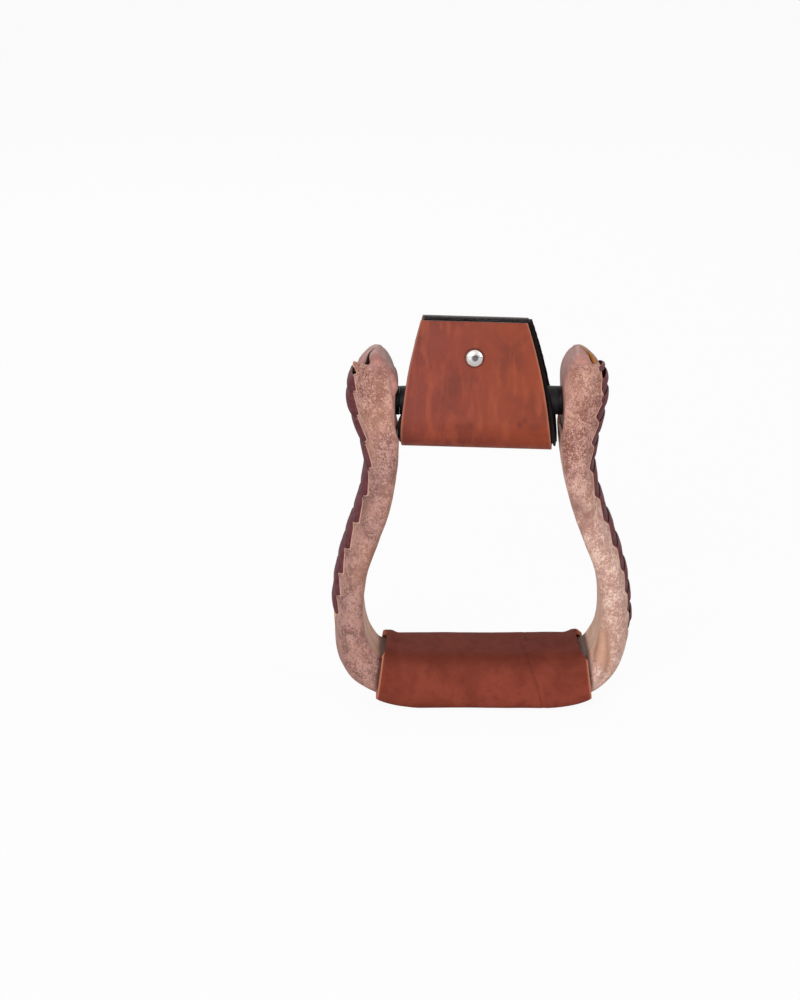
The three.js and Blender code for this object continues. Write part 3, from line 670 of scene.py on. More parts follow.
@lru_cache(maxsize=None)
def cover_spot(side, u, v):
    """Station, signed length from the crest, and lengths from the flap's edge and up, of a point."""
    up = lerp(COVER_END, COVER_TOP - REAR_LOWER * smooth(u, 0.54, 0.68), v)
    from_edge = abs(COLUMNS[min(round(u * (len(COLUMNS) - 1)), len(COLUMNS) - 1)])
    rear = u > 0.5
    station = station_at(up)
    down = round(FIRST - up, 4)
    half = half_round(station, COVER_OUT)
    edge = lacing_line(side, station) * (1 if rear else -1) + flap_edge(side, station)
    if side > 0 and not rear:
        edge -= 2.6 * bell((stitch_count(down) - 0.97) / 0.3)
    if from_edge > FINE:
        from_edge = FINE + (from_edge - FINE) * (half - edge - FINE) / (FULL_HALF - FINE)
    drawn = bite(side, down, rear) * fade(from_edge, 0, 9.5)
    round_at = min(half, edge + from_edge + drawn)
    return station, round_at if rear else -round_at, from_edge, up


def across_folds(station, round_at):
    """Length across the folds of the right limb, which run a little aslant."""
    return -round_at - (station - 4.8) * 3.0


def gathered(side, station, round_at):
    """1 where the hide of the right limb is gathered round the inner corner."""
    if side < 0 or round_at > 0:
        return 0.0
    return smooth(station, 3.0, 3.7) * fade(station, 5.6, 6.8)


def hide_relief(side, station, round_at, from_edge, up):
    """Small swells, folds and lifted edges of the dried hide, in millimetres off the wood."""
    where = on_section(side * station, round_at, COVER_OUT)
    off = 0.35 * wander(where, 17, 3.0 * side) + 0.12 * wander(where, 6, 9.0 * side)
    off += 0.25 * fade(from_edge, 0, 3)
    wrinkled = gathered(side, station, round_at)
    for fold, width, height in GATHERS if wrinkled else ():
        off += wrinkled * height * bell((across_folds(station, round_at) - fold) / width)
    if side < 0 and round_at < 0:
        off += 2.0 * fade(from_edge, 0, 7) * smooth(up, COVER_TOP - 8, COVER_TOP)
    if side < 0:  # looser hide at the bottom corner
        off += 2.0 * smooth(station, 3.1, 4.5) * fade(station, 4.6, 6.0) * fade(abs(round_at), 13, 24)
    return off


def cover_place(side):
    def place(u, v, more=0.0):
        station, round_at, from_edge, up = cover_spot(side, u, v)
        off = hide_relief(side, station, round_at, from_edge, up)
        return on_section(side * station, round_at, COVER_OUT, off + more)
    return place


def cover_lay(u, v):
    column = COLUMNS[round(u * (len(COLUMNS) - 1))]
    return (column * (-1 if u > 0.5 else 1) * MM, lerp(COVER_END, COVER_TOP, v) * MM)


# The corner that is cut away, as points of its edge from bottom to top: distance from the neck's middle
# and height. It is deeper on the left limb.
SCOOP_HEIGHTS = (150.6, 151.8, 160.6, 168.0, 176.0, 186.0, 203.0)
SCOOP = {
    -1: list(zip((41.2, 42.0, 44.1, 44.4, 45.3, 46.8, 50.2), SCOOP_HEIGHTS)),
    1: list(zip((41.2, 42.0, 43.5, 43.7, 44.2, 45.0, 47.0), SCOOP_HEIGHTS)),
}


def from_scoop(side, point):
    """Distance in millimetres from a point of the hide out to the edge of the corner that is cut away."""
    x, z = side * (point.x / MM - NECK_X), point.z / MM
    for (x0, z0), (x1, z1) in zip(SCOOP[side], SCOOP[side][1:]):
        if z0 <= z <= z1:
            return x - lerp(x0, x1, (z - z0) / (z1 - z0))
    return 99.0  # nothing is cut away below and above


SLEEVE_LOW = 59.1  # from the tread's middle to the ends of its leather sleeve, at the floor
SLEEVE_HIGH = 54.3  # the same, at the height below
SLEEVE_RISE = 36


def sleeve_end(side):
    """A point on the floor and the direction outwards of the plane that cuts the sleeve's end."""
    foot = Vector((side * SLEEVE_LOW + LEAN + NECK_X, 0, 0))
    return foot, Vector((side * SLEEVE_RISE, 0, SLEEVE_LOW - SLEEVE_HIGH))


def past_sleeve(point, side):
    """Distance in millimetres beyond the end of the sleeve."""
    foot, outwards = sleeve_end(side)
    return (point / MM - foot).dot(outwards.normalized())


def cover_marks(side):
    place = cover_place(side)

    def marks(u, v):
        station, round_at, from_edge, up = cover_spot(side, u, v)
        point = place(u, v)
        wrinkled = gathered(side, station, round_at)
        across = across_folds(station, round_at)
        # painted shade: dark lines in the hollows of the gathered folds, and a dark band on the hide just past the
        # sleeve's end, where the sleeve stands off the limb
        dark = sum(0.45 * bell((across - fold) / 1.3) for fold, _, height in GATHERS if height < 0)
        shade = fade(past_sleeve(point, side), 0.6, 2.8) * smooth(abs(round_at), 14, 22)
        return {
            "high": smooth(station, *GREYER[side]),
            "front": fade(round_at, -FLAP_EDGE, FLAP_EDGE) if u > 0.5 else 1.0,
            "inner": fade(half_round(station, COVER_OUT) - abs(round_at), 13, 16),
            "smooth": wrinkled * smooth(across, 20.5, 23) * smooth(station, 4.0, 4.6),
            "fold": max(dark * wrinkled, shade * fade(station, 5.4, 6.2)),
            "rim": max(fade(from_scoop(side, point), 0.2, 1.1), 0.8 * fade(COVER_TOP - up, 0.2, 1.2)),
            # pale: the strip along the flaps' edges, partly the cut edge's tone and partly painted highlight
            "pale": fade(from_edge, 0.5, 1.5) * smooth(station, 5.6, 6.2),
            "blotch": min(1.0, sum(
                bell((FIRST - up - stitch_length(count)) / tall) * bell((round_at - middle) / wide)
                for count, middle, tall, wide in BLOTCHES[side]
            )),
            "right": max(0.0, side),
        }
    return marks


print("a cover has", len(COLUMNS) - 1, "columns and", COVER_ROWS, "rows")

# %% Cut and wrap both covers
for side, end in SIDES:
    place = cover_place(side)
    bm = flat_sheet(len(COLUMNS) - 1, COVER_ROWS, place, cover_lay, cover_marks(side))
    face_out(bm, place, 0.25, 0.5)
    corners = [Vector((side * x + NECK_X, 0, z)) * MM for x, z in SCOOP[side]]
    for low, high in zip(corners, corners[1:]):
        slab = [f for f in bm.faces if low.z - 0.002 < f.calc_center_median().z < high.z + 0.002]
        near = {e for f in slab for e in f.edges} | {v for f in slab for v in f.verts} | set(slab)
        across = (high - low).cross(Vector((0, 1, 0)))
        bmesh.ops.bisect_plane(bm, geom=list(near), dist=1e-6, plane_co=low, plane_no=across)
    spare = [f for f in bm.faces if from_scoop(side, f.calc_center_median()) < 0]
    bmesh.ops.delete(bm, geom=spare, context="FACES")
    cover = piece("laced_cover_" + end, bm, "frame", "rawhide", [rawhide, cut_hide], ["rawhide_cover_" + end])
    thicken(cover, RAWHIDE, 0.35)

# %% [markdown]
# ## The caps of smooth rawhide
# Above the lacing, a smoother piece of hide closes the top of each limb. It is folded over the peak, and
# its two edges meet along the crest in a slot that narrows upwards. The rear edge stands a little proud,
# so the amber colour of the cut hide shows.

# %% Finish of the caps
cap_hide = Finish("smooth rawhide", Specular_IOR_Level=0.25)
patch = cap_hide.noise(0.006, 3.0, 0.6, 0.5)
grain = cap_hide.noise(0.0012, 2.0, 0.5)
vein = cap_hide.noise(0.014, 4.0, 0.6, 1.5)
amber = cap_hide.mix(patch.ramp(0.3, 0.6), (196, 124, 58), (128, 72, 34))
cap_hide.colour(
    cap_hide.mix(patch.ramp(0.3, 0.7), (198, 144, 133), (174, 120, 110)),
    ((1 - (vein - 0.5).size().ramp(0.0, 0.03)) * 0.25, (122, 84, 76)),
    (cap_hide.mark("amber"), amber),
    # dark is painted shade along the left cap's edges, in its narrow slot
    (cap_hide.mark("dark"), (40, 22, 18)),
)
cap_hide.set("Roughness", 0.36 + patch * 0.16)
cap_hide.bumps(grain * 0.5 + patch * 0.5, 0.0002, 0.5)

amber_edge = fibrous("amber cut edge", 0.002, (190, 120, 48), (150, 86, 30), Roughness=0.4)
# the left cap's cut edges face into its narrow slot and are painted dark as shade
dark_edge = fibrous("dark cut edge", 0.002, (66, 40, 32), (34, 20, 17), Roughness=0.6)
print("cap finishes made")

# %% Caps
CAP_BOTTOM = 11.95
CAP_COLUMNS = 96
CAP_ROWS = 78
CLOSING = 0.12  # share of the rows that close over the peak
GROOVE = 10.7  # half the width that the cap leaves open for the lace


def cap_station(v):
    return round(lerp(CAP_BOTTOM, LIMB_TOP, min(1.0, v / (1 - CLOSING))), 5)


def slot_of(side, station):
    """Width of the slot between the cap's two edges, and its length from the crest."""
    up = smooth(station, 15.6, 17.2)
    if side < 0:
        return lerp(2.6, 1.9, up), lerp(-14.2, -4.2, up)
    return lerp(1.6, 1.2, up), lerp(-11.9, -4.8, up)


def cap_place(side):
    def place(u, v, more=0.0):
        station = cap_station(v)
        half = half_round(station, 0)
        open_low = fade(station, 14.5, 14.9)
        slot_width, slot_at = slot_of(side, station)
        line = lacing_line(side, station)
        front_edge = lerp(slot_at - slot_width / 2, line - GROOVE, open_low)
        rear_edge = lerp(slot_at + slot_width / 2, line + GROOVE, open_low)
        run = u * ((half + front_edge) + (half - rear_edge))
        if run < half + front_edge:
            round_at = front_edge - run
        else:
            round_at = max(2 * half + front_edge - run, rear_edge)
        proud = fade(round_at - rear_edge, 2, 10) if u > 0.5 else 0.0
        off = (1.5 if side > 0 else 0.3) * proud * (1 - open_low) * (1 - 0.6 * smooth(station, 16, 17)) + more
        point = on_section(side * station, round_at, 0, off)
        swell = 0.2 * wander(point, 9, 5.0 * side)
        if side < 0 and round_at < 0:
            facing_in = smooth(-round_at, half - 17, half - 12)
            swell += 1.5 * facing_in * smooth(station, 13.4, 13.8) * fade(station, 14.2, 15.4)
        point = on_section(side * station, round_at, 0, off + swell)
        point.x -= side * 1.4 * MM * smooth(station, 14.9, 17)  # it leans inwards
        if v > 1 - CLOSING:
            shut = (v - (1 - CLOSING)) / CLOSING * math.pi / 2
            middle = bow_point(side * LIMB_TOP, 0, 0) + Vector((-side * 1.7, 0, 1.5 * math.sin(shut))) * MM
            squeezed = middle.lerp(point, math.cos(shut))
            squeezed.z = lerp(point.z, middle.z, math.sin(shut))
            return squeezed
        return point
    return place


def cap_marks(side):
    def marks(u, v):
        station = cap_station(v)
        whole = 2 * half_round(station, 0)
        beside_rear = (1 - u) * whole if u > 0.5 else 99.0
        amber = fade(beside_rear, 13, 17) * smooth(station, 14.8, 15.2)
        # painted shade along both edges of the left cap's slot
        dark = fade(min(u, 1 - u) * whole, 0.0, 0.5) * fade(station, 16.6, 17)
        return {"amber": amber if side > 0 else 0.0, "dark": dark if side < 0 else 0.0}
    return marks


for side, end, rim in ((-1, "left", dark_edge), (1, "right", amber_edge)):
    place = cap_place(side)
    bm = flat_sheet(CAP_COLUMNS, CAP_ROWS, place, evenly(0.1, 0.06), cap_marks(side))
    face_out(bm, place, 0.25, 0.5)
    bmesh.ops.remove_doubles(bm, verts=bm.verts, dist=2e-5)
    cap = piece("limb_cap_" + end, bm, "frame", "smooth_rawhide", [cap_hide, rim], ["rawhide_cap_" + end])
    thicken(cap, RAWHIDE, 0.3)

# %% [markdown]
# ## The lacing
# One flat lace whips the two flaps of each cover together. Seen from outside, it crosses the crest as a
# row of wide slanting bands. Each band lies with its lower edge over the next one, like shingles, turns in
# through a front hole, and comes back underneath to the next rear hole. A table gives the lace's middle,
# width and tilt at the places of one stitch, and smooth values between them give the rings of the band.

# %% Finish of the lace
lace_hide = Finish("lace leather", Specular_IOR_Level=0.25)
patch = lace_hide.noise(0.004, 3.0, 0.6, 0.4)
fold = lace_hide.noise(0.0013, 3.0, 0.6, 0.2, lace_hide.laid((0.25, 1, 1)))
grain = lace_hide.noise(0.0007, 2.0, 0.6)
lace_hide.colour(
    lace_hide.mix(patch.ramp(0.3, 0.7), (108, 54, 60), (80, 34, 40)),
    # painted highlights: lighter streaks on the ridges of the lace's folds, whose relief comes from the same noise
    (fold.ramp(0.5, 0.75) * 0.4, (140, 92, 88)),
    (lace_hide.mark("edge") * 0.35, (128, 82, 80)),
    # painted shade on the lower part of each band
    (lace_hide.mark("low") * 0.55, (60, 22, 26)),
    # painted shade where the lace turns in through the holes and runs under the flaps
    (lace_hide.mark("hidden"), (46, 16, 18)),
)
lace_hide.set("Roughness", 0.42 + grain * 0.2)
lace_hide.bumps(fold * 0.6 + grain * 0.2 + patch * 0.2, 0.0003, 0.6)
print("lace finish made")

# %% Laces
LACE_THICK = 1.2
OVER = COVER_OUT + 1.2 * GAP + LACE_THICK / 2
UNDER = -LACE_THICK / 2
TURN = (OVER + UNDER) / 2
# length from the lacing's middle, height over the wood, share of a stitch, width, tilt of the outer face
STITCH = [
    (9.3, TURN, 0, 8.8, 0),
    (8.7, OVER - 0.2, 0, 10, 45),
    (6.8, OVER - 0.1, 0.05, 13.6, 90),
    (3.8, OVER - 0.3, 0.14, 14.4, 90),
    (0, OVER - 0.5, 0.26, 14.4, 90),
    (-3.6, 2.0, 0.36, 14.4, 98),
    (-6.4, 1.1, 0.46, 13.8, 108),
    (-8.7, 0.2, 0.54, 11.0, 135),
    (-9.4, -0.4, 0.56, 8.6, 180),
    (-8.4, UNDER + 0.1, 0.56, 6.6, 225),
    (-6.0, UNDER, 0.58, 6, 270),
    (0, UNDER, 0.75, 6, 270),
    (6.0, UNDER, 0.96, 6, 270),
    (8.4, UNDER + 0.25, 1, 6.6, 315),
]
EVEN_HOLE = 0.56  # share of a stitch where the table has the front hole
# The lace's own end: on the left it is tucked under the flaps, and on the right it lies over the top.
LACE_START = {
    -1: [(1, UNDER, -0.03, 4, -90), (6, UNDER, -0.02, 4, -90)],
    1: [
        (-9.5, 0.6, -0.66, 2.5, 90), (-6, 1.6, -0.68, 5, 90), (-1, 2.1, -0.68, 5.8, 90), (4, 1.9, -0.66, 5.6, 90),
        (8, 0.9, -0.6, 4.6, 90), (9, -0.5, -0.4, 4, 20), (8.4, UNDER, -0.15, 4, -70),
    ],
}
BAND_STEPS = 40  # points round the band


def lace_places(side):
    """The table's rows for a whole lace, with the share and the tilt running on from stitch to stitch."""
    rows = LACE_START[side] + [(8.4, UNDER + 0.25, 0, 6.6, -45)]
    for n in range(STITCHES[side]):
        last = n == STITCHES[side] - 1
        lean = DEEPEST[side] - early(side, n + 0.5) - EVEN_HOLE
        rows += [
            (y, grow, share + n + lean * smooth(-y, 0, 8.4), width, tilt + 360 * n)
            for y, grow, share, width, tilt in (STITCH[:12] if last else STITCH)
        ]
    if side > 0:  # the last band is slimmer
        rows[-12:-4] = [(y, grow, share + 0.05, width * 0.72, tilt) for y, grow, share, width, tilt in rows[-12:-4]]
    return rows


def between(rows, at):
    """Smooth values between the rows of a table."""
    i = min(int(at), len(rows) - 2)
    near = (rows[min(max(i + n, 0), len(rows) - 1)] for n in (-1, 0, 1, 2))
    return [curve(*four, at - i) for four in zip(*near)]


def across_band(u):
    """From 1 at the band's lower edge to -1 at its upper one, and back on its other face."""
    return 1 - 4 * u if u < 0.5 else 4 * u - 3


def laid_over(side, across):
    """How far the band stands off, from its upper edge at -1 to its lower edge at 1."""
    if side < 0:
        return 1.15 * (1 - abs(across) ** 2.5) - 0.65
    return 0.5 - 0.95 * smooth(across, -0.15, 0.1)


def lace_place(side, rows, odd):
    def place(u, v, more=0.0):
        y, grow, share, width, tilt = between(rows, v * (len(rows) - 1))
        turn = math.radians(tilt)
        on_top = smooth(math.sin(turn), 0.2, 1.0)
        wider, later = odd[min(int(max(share, 0)), STITCHES[side] - 1)]
        width *= 1 + on_top * (wider - (0.06 if side < 0 else 0.0))
        share += on_top * later
        across = across_band(u)
        thick = math.sqrt(max(0.0, 1 - abs(across) ** 8)) * LACE_THICK / 2
        face = thick if u < 0.5 else -thick
        laid = laid_over(side, across) * on_top * fade(abs(y), 3.5, 7.0)
        station = station_at(FIRST - stitch_length(share + across * width / 2 / PITCH))
        if side < 0:  # the second pad bulges most
            laid += 1.9 * on_top * bell((station - 12.9) / 0.9) * fade(-y, 1.0, 6.0)
        round_at = lacing_line(side, station) + y + face * math.cos(turn)
        return on_section(side * station, round_at, 0, grow + laid + (face + more) * math.sin(turn))
    return place


def lace_marks(rows):
    def marks(u, v):
        across = across_band(u)
        tilt = between(rows, v * (len(rows) - 1))[4]
        return {
            "edge": abs(across) ** 10,
            # low: the band's lower part, in painted shade
            "low": smooth(across, 0.2, 0.9),
            # hidden: where the lace turns in and runs under the flaps, in painted shade
            "hidden": fade(math.sin(math.radians(tilt)), -0.1, 0.7),
        }
    return marks


chance = random.Random(11)
for side, end in SIDES:
    rows = lace_places(side)
    # how much wider and how much further down each band is
    odd = [(chance.uniform(-0.06, 0.0), chance.uniform(-0.02, 0.02)) for _ in range(12)]
    place = lace_place(side, rows, odd)
    bm = flat_sheet(BAND_STEPS, 4 * (len(rows) - 1), place, evenly(0.026, 0.45), lace_marks(rows))
    bmesh.ops.remove_doubles(bm, verts=bm.verts, dist=1e-6)
    bmesh.ops.holes_fill(bm, edges=[e for e in bm.edges if e.is_boundary], sides=0)
    bmesh.ops.recalc_face_normals(bm, faces=bm.faces)
    piece("whipped_lace_" + end, bm, "frame", "lace", [lace_hide], ["lace_" + end], sharp=60)

# %% [markdown]
# ## The leather sleeve on the tread
# A rectangle of leather is wrapped round the tread, with its edges butted underneath. The ends are cut
# straight across and ride up the limbs a little, so their raw, lighter edges show. The grid wraps the
# section once, from the seam round to the seam. A sloping plane then trims each end.

# %% Finish of the tread leather
tread_leather = Finish("tread leather", Specular_IOR_Level=0.06)
cloud = tread_leather.noise(0.02, 3.0, 0.55, 0.4)
patch = tread_leather.noise(0.0045, 3.0, 0.6)
grain = tread_leather.cells(0.00075)
scratch = tread_leather.noise(0.006, 2.0, 0.5, 0.2, tread_leather.coordinates((6, 1, 0.6)))
tread_leather.colour(
    tread_leather.mix(cloud.ramp(0.3, 0.7), (122, 56, 42), (142, 68, 52)),
    (patch.ramp(0.45, 0.75) * 0.4, (106, 46, 36)),
    # painted shade: the top of the sleeve is darker than its front, as the light comes from the front
    (tread_leather.mark("top") * 0.5, (84, 36, 28)),
    # painted shade in the crease's shallow dent
    (tread_leather.mark("crease") * 0.3, (70, 26, 20)),
    (scratch.ramp(0.72, 0.78) * 0.3, (180, 100, 76)),
    (tread_leather.mark("cut"), (190, 116, 90)),
)
tread_leather.set("Roughness", 0.54 + patch * 0.2)
tread_leather.bumps(grain * 0.6 + patch * 0.4, 0.00016, 0.5)

raw_edge = fibrous("raw leather edge", 0.0016, (204, 130, 100), (160, 86, 66), 0.0003, 0.6, 0.7, Roughness=0.7)
print("tread leather finish made")

# %% Tread sleeve
SLEEVE_LEATHER = 3.0
SLEEVE_OUT = COVER_OUT + GAP + SLEEVE_LEATHER
SLEEVE_COLUMNS = 110
SLEEVE_ROWS = 220
SEAM_AT = 9.0
SEAM_GAP = 0.5


def sleeve_spot(u, v):
    """Station, lift of the top and signed length from the crest, which is underneath here."""
    station = round(lerp(-4.0, 4.0, v), 5)
    lift = round(0.9 * smooth(abs(station), 2.6, 3.4), 5)
    half = half_round(station, SLEEVE_OUT, lift)
    run = SEAM_AT + SEAM_GAP + u * (2 * half - SEAM_GAP)
    return station, lift, run if run <= half else run - 2 * half


def crease_line(station, round_at):
    """1 on the crease that crosses the front and the top, near the right end."""
    if 0 < round_at < 24:
        return 0.0
    height = min(abs(round_at), 60) if round_at < 0 else 50.0
    line = 1.62 - 0.012 * (height - 20) - 0.05 * smooth(height, 36, 44)
    return bell((station - line) / 0.035) * smooth(height, 12, 17)


def from_end(station, round_at, lift):
    """Distance in millimetres from the nearer cut end."""
    return -past_sleeve(on_section(station, round_at, SLEEVE_OUT, 0, lift), 1 if station > 0 else -1)


def sleeve_place(u, v, more=0.0):
    station, lift, round_at = sleeve_spot(u, v)
    away_from_crest = abs(round_at)
    half = half_round(station, SLEEVE_OUT, lift)
    where = on_section(station, round_at, SLEEVE_OUT, 0, lift)
    swell = 0.3 * wander(where, 24, 2.0) + 0.1 * wander(where, 8, 4.0)
    off = (swell - 0.4) * smooth(away_from_crest, 12, 19)
    off -= 0.15 * crease_line(station, round_at)
    top = smooth(away_from_crest, half - 24, half - 14)
    from_cut = from_end(station, round_at, lift)
    to_rear = math.copysign(half - away_from_crest, round_at)
    off += 1.4 * smooth(to_rear, -18, 8) * smooth(away_from_crest, half - 30, half - 16) * smooth(from_cut, 0, 6)
    off += 0.9 * fade(from_cut, 1.5, 8) * top
    off -= 0.7 * fade(from_cut, 0.0, 1.5) * smooth(away_from_crest, 12, 19) * (1 - top)
    if away_from_crest < 14:
        off = min(off, 0.0)
    place = on_section(station, round_at, SLEEVE_OUT, off + more, lift)
    place.z = place.z if more else max(place.z, 0.0)  # it stands on the floor
    return place


def sleeve_marks(u, v):
    station, lift, round_at = sleeve_spot(u, v)
    half = half_round(station, SLEEVE_OUT, lift)
    return {
        # top is where the painted shade on the sleeve's top lies
        "top": smooth(abs(round_at), half - 32, half - 14),
        "cut": fade(from_end(station, round_at, lift), 0.5, 1.2),
        "crease": crease_line(station, round_at),
    }


bm = flat_sheet(SLEEVE_COLUMNS, SLEEVE_ROWS, sleeve_place, evenly(0.12, 0.12), sleeve_marks)
face_out(bm, sleeve_place, 0.5, 0.5)
for side in (-1, 1):
    foot, outwards = sleeve_end(side)
    everything = bm.verts[:] + bm.edges[:] + bm.faces[:]
    bmesh.ops.bisect_plane(
        bm, geom=everything, dist=1e-6, plane_co=foot * MM, plane_no=outwards, clear_outer=True
    )
sleeve = piece("tread_wrap", bm, "frame", "tread_leather", [tread_leather, raw_edge], ["tread_sleeve"])
thicken(sleeve, SLEEVE_LEATHER, 0.45)

# %% [markdown]
# ## The keeper
# A strip of leather with a black lining is folded under the roller, and one rivet above it holds the
# two arms together. Both layers are the same folded sheet at two distances from the roller. From the
# front each is a trapezoid with sides that bow out a little, and the fold is slightly askew.

# %% Finishes of the keeper
RIVET_X, RIVET_Z = -2.8, 25.4  # from the roller's axis
keeper_leather = Finish("keeper leather", Specular_IOR_Level=0.22)
cloud = keeper_leather.noise(0.022, 3.0, 0.55, 0.5)
patch = keeper_leather.noise(0.004, 3.0, 0.6)
grain = keeper_leather.cells(0.0007)
streak = keeper_leather.noise(0.012, 3.0, 0.6, 0.2, keeper_leather.coordinates((2.2, 1, 0.5)))
# painted shadow: the leather is dark under the rivet's cap and in a thin ring round it
painted_rivet_shadow = 1 - keeper_leather.from_axis(RIVET_X + NECK_X, ROLLER_Z + RIVET_Z).ramp(0.0047, 0.0057)
keeper_leather.colour(
    keeper_leather.mix(keeper_leather.mark("right"), (130, 58, 46), (142, 62, 36)),
    (cloud.ramp(0.42, 0.66) * 0.5, (98, 42, 33)),
    (streak.ramp(0.45, 0.7) * 0.45, (170, 82, 54)),
    (patch.ramp(0.55, 0.8) * 0.25, (116, 50, 36)),
    (keeper_leather.mark("dent") * 0.5, (84, 36, 28)),
    (painted_rivet_shadow * 0.6, (66, 30, 25)),
    # painted highlight: a light line along the leather's side edges
    (keeper_leather.mark("rim") * 0.6, (200, 134, 108)),
)
keeper_leather.set("Roughness", 0.42 + patch * 0.2)
keeper_leather.bumps(grain * 0.6 + patch * 0.4, 0.00014, 0.5)

burnished = fibrous("burnished leather edge", 0.0018, (62, 34, 30), (30, 18, 17), Roughness=0.5)

lining_black = Finish("black lining", Roughness=0.9, Specular_IOR_Level=0.15, Sheen_Weight=0.08, Sheen_Roughness=0.5)
lining_black.colour(lining_black.mix(lining_black.noise(0.006, 2.0, 0.5), (16, 10, 11), (30, 20, 21)))
lining_black.bumps(lining_black.noise(0.0009, 3.0, 0.7), 0.0004, 0.8)
print("keeper finishes made")

# %% Shape of a folded layer
KEEPER_LEATHER = 3.0
KEEPER_LINING = 2.5
KEEPER_TOP = 43.6
LINING_TOP = 44.9
LINING_LOWER = 1.3  # the drawn lining ends this much lower
FOLD = 9.9
FOLD_Z = -9.5
TILT = math.radians(1.7)
SKEW = 0.08
ARM_LEAN = math.asin((FOLD - GAP) / (LINING_TOP - FOLD_Z))
OUTLINE_LOW = FOLD_Z - FOLD - KEEPER_LINING - KEEPER_LEATHER - 1
OUTLINE_TOP = LINING_TOP + 1
# of the outline, at the fold and at the top: the middle of its width, and half its width
LOW_AT, LOW_HALF = -0.5, 39.3
TOP_AT, TOP_HALF = -2.7, 26.75
BULGE = 2.6
KEEPER_WIDE, KEEPER_LONG = 70, 130  # rough size of the strip, to tell how near its edges a point is
KEEPER_COLUMNS = 110
KEEPER_ROWS = 160
# the dents in the front: place across and along the strip, sizes, slant
DENTS = ((0.8, 0.335, 0.014, 0.008, 0.12), (0.84, 0.32, 0.012, 0.008, 0.12), (0.47, 0.345, 0.03, 0.014, 0.0))


def fold_path(radius, top, v):
    """A point of a layer's section, from the front's top edge round to the rear's, as y and z."""
    start = (radius * math.cos(ARM_LEAN), FOLD_Z + radius * math.sin(ARM_LEAN))
    arm = (top - start[1]) / math.cos(ARM_LEAN)
    bend = radius * (math.pi + 2 * ARM_LEAN)
    run = v * (2 * arm + bend)
    if run < arm or run > arm + bend:
        side = -1 if run < arm else 1
        up = arm - run if run < arm else run - arm - bend
        return side * (start[0] - up * math.sin(ARM_LEAN)), start[1] + up * math.cos(ARM_LEAN)
    angle = math.pi - ARM_LEAN + (run - arm) / radius
    return radius * math.cos(angle), FOLD_Z + radius * math.sin(angle)


def keeper_side(edge, z, extra):
    """Distance of the left or right side, edge -1 or 1, from the neck's middle, at a height."""
    low = LOW_AT + edge * (LOW_HALF + extra)
    high = TOP_AT + edge * (TOP_HALF + extra)
    middle = (low + high) / 2 + edge * 2 * BULGE
    z0, z1, zm = OUTLINE_LOW + 2, OUTLINE_TOP, (OUTLINE_LOW + OUTLINE_TOP) / 2
    a, b = z0 - 2 * zm + z1, 2 * (zm - z0)
    t = max(0.0, (-b + math.sqrt(b * b - 4 * a * (z0 - max(z, z0)))) / (2 * a))
    return (1 - t) ** 2 * low + 2 * t * (1 - t) * middle + t * t * high


def keeper_place(radius, top, extra, shift, ragged):
    def place(u, v, more=0.0):
        turned_over = 0.0
        if ragged:  # at the fold, the lining's sides turn out over the leather's edges
            low_half = fade(abs(v - 0.5), 0.2, 0.3)
            turned_over = (KEEPER_LEATHER - 1.5) * low_half * max(smooth(u, 0.979, 0.993), fade(u, 0.007, 0.021))
        y, z = fold_path(radius + turned_over + more, top, v)
        x = 0.0
        for _ in range(3):
            at = z * math.cos(TILT) - x * math.sin(TILT)
            left = keeper_side(-1, at, extra) + (-2.5 if ragged else -0.2) * smooth(-at, 1, 9)
            x = lerp(left, keeper_side(1, at, extra), u) + shift + SKEW * y
        z = z * math.cos(TILT) - x * math.sin(TILT)
        point = Vector((x + NECK_X, y, z + ROLLER_Z)) * MM
        arm = smooth(abs(v - 0.5), 0.12, 0.25)
        edge = min(u, 1 - u) * KEEPER_WIDE
        swell = 0.35 * wander(point, 26, 7.0) * arm
        swell -= 0.35 * bell(math.hypot(x - RIVET_X, z - RIVET_Z) / 7) * arm
        swell += 0.25 * fade(edge, 0, 5) * wander(point, 14, 1.0)
        point.y += math.copysign(swell, y) * MM
        if ragged:
            near_side = fade(edge, 0, 1.2)
            near_top = fade((0.5 - abs(v - 0.5)) * KEEPER_LONG, 0, 1.2)
            point.x += ragged * near_side * wander(point, 0.9, 4.0) * MM * 2
            point.z += ragged * near_top * wander(point, 0.9, 8.0) * MM * 2
        return point
    return place


def keeper_marks(u, v):
    dent = sum(
        math.exp(-(((u - a - slant * (v - b)) / wide) ** 2 + ((v - b) / tall) ** 2))
        for a, b, wide, tall, slant in DENTS
    )
    # rim is where the painted highlight along the side edges lies
    return {"right": u, "dent": dent, "rim": fade(min(u, 1 - u) * KEEPER_WIDE, 0.3, 0.9)}


print("arms lean", round(math.degrees(ARM_LEAN), 1), "degrees")

# %% Leather and lining
for name, node, slot, finishes, radius, thick, top, extra, shift, ragged in (
    (
        "folded_keeper", "keeper_leather", "keeper_leather", [keeper_leather, burnished],
        FOLD + KEEPER_LINING + GAP + KEEPER_LEATHER, KEEPER_LEATHER, KEEPER_TOP, 0, 0, 0,
    ),
    (
        "folded_lining", "keeper_lining", "lining", [lining_black, lining_black],
        FOLD + KEEPER_LINING, KEEPER_LINING, LINING_TOP - LINING_LOWER, 0.3, 1.6, 0.12,
    ),
):
    place = keeper_place(radius, top, extra, shift, ragged)
    bm = flat_sheet(KEEPER_COLUMNS, KEEPER_ROWS, place, evenly(0.07, 0.15), keeper_marks)
    face_out(bm, place, 0.5, 0.2)
    layer = piece(name, bm, "keeper", slot, finishes, [node])
    thicken(layer, thick, 0.3)

# %% [markdown]
# ## Turned parts
# The roller, its washers and the rivet are round, so each is a profile of a few points that is spun once
# about its axis. A bevel then rounds the corners.

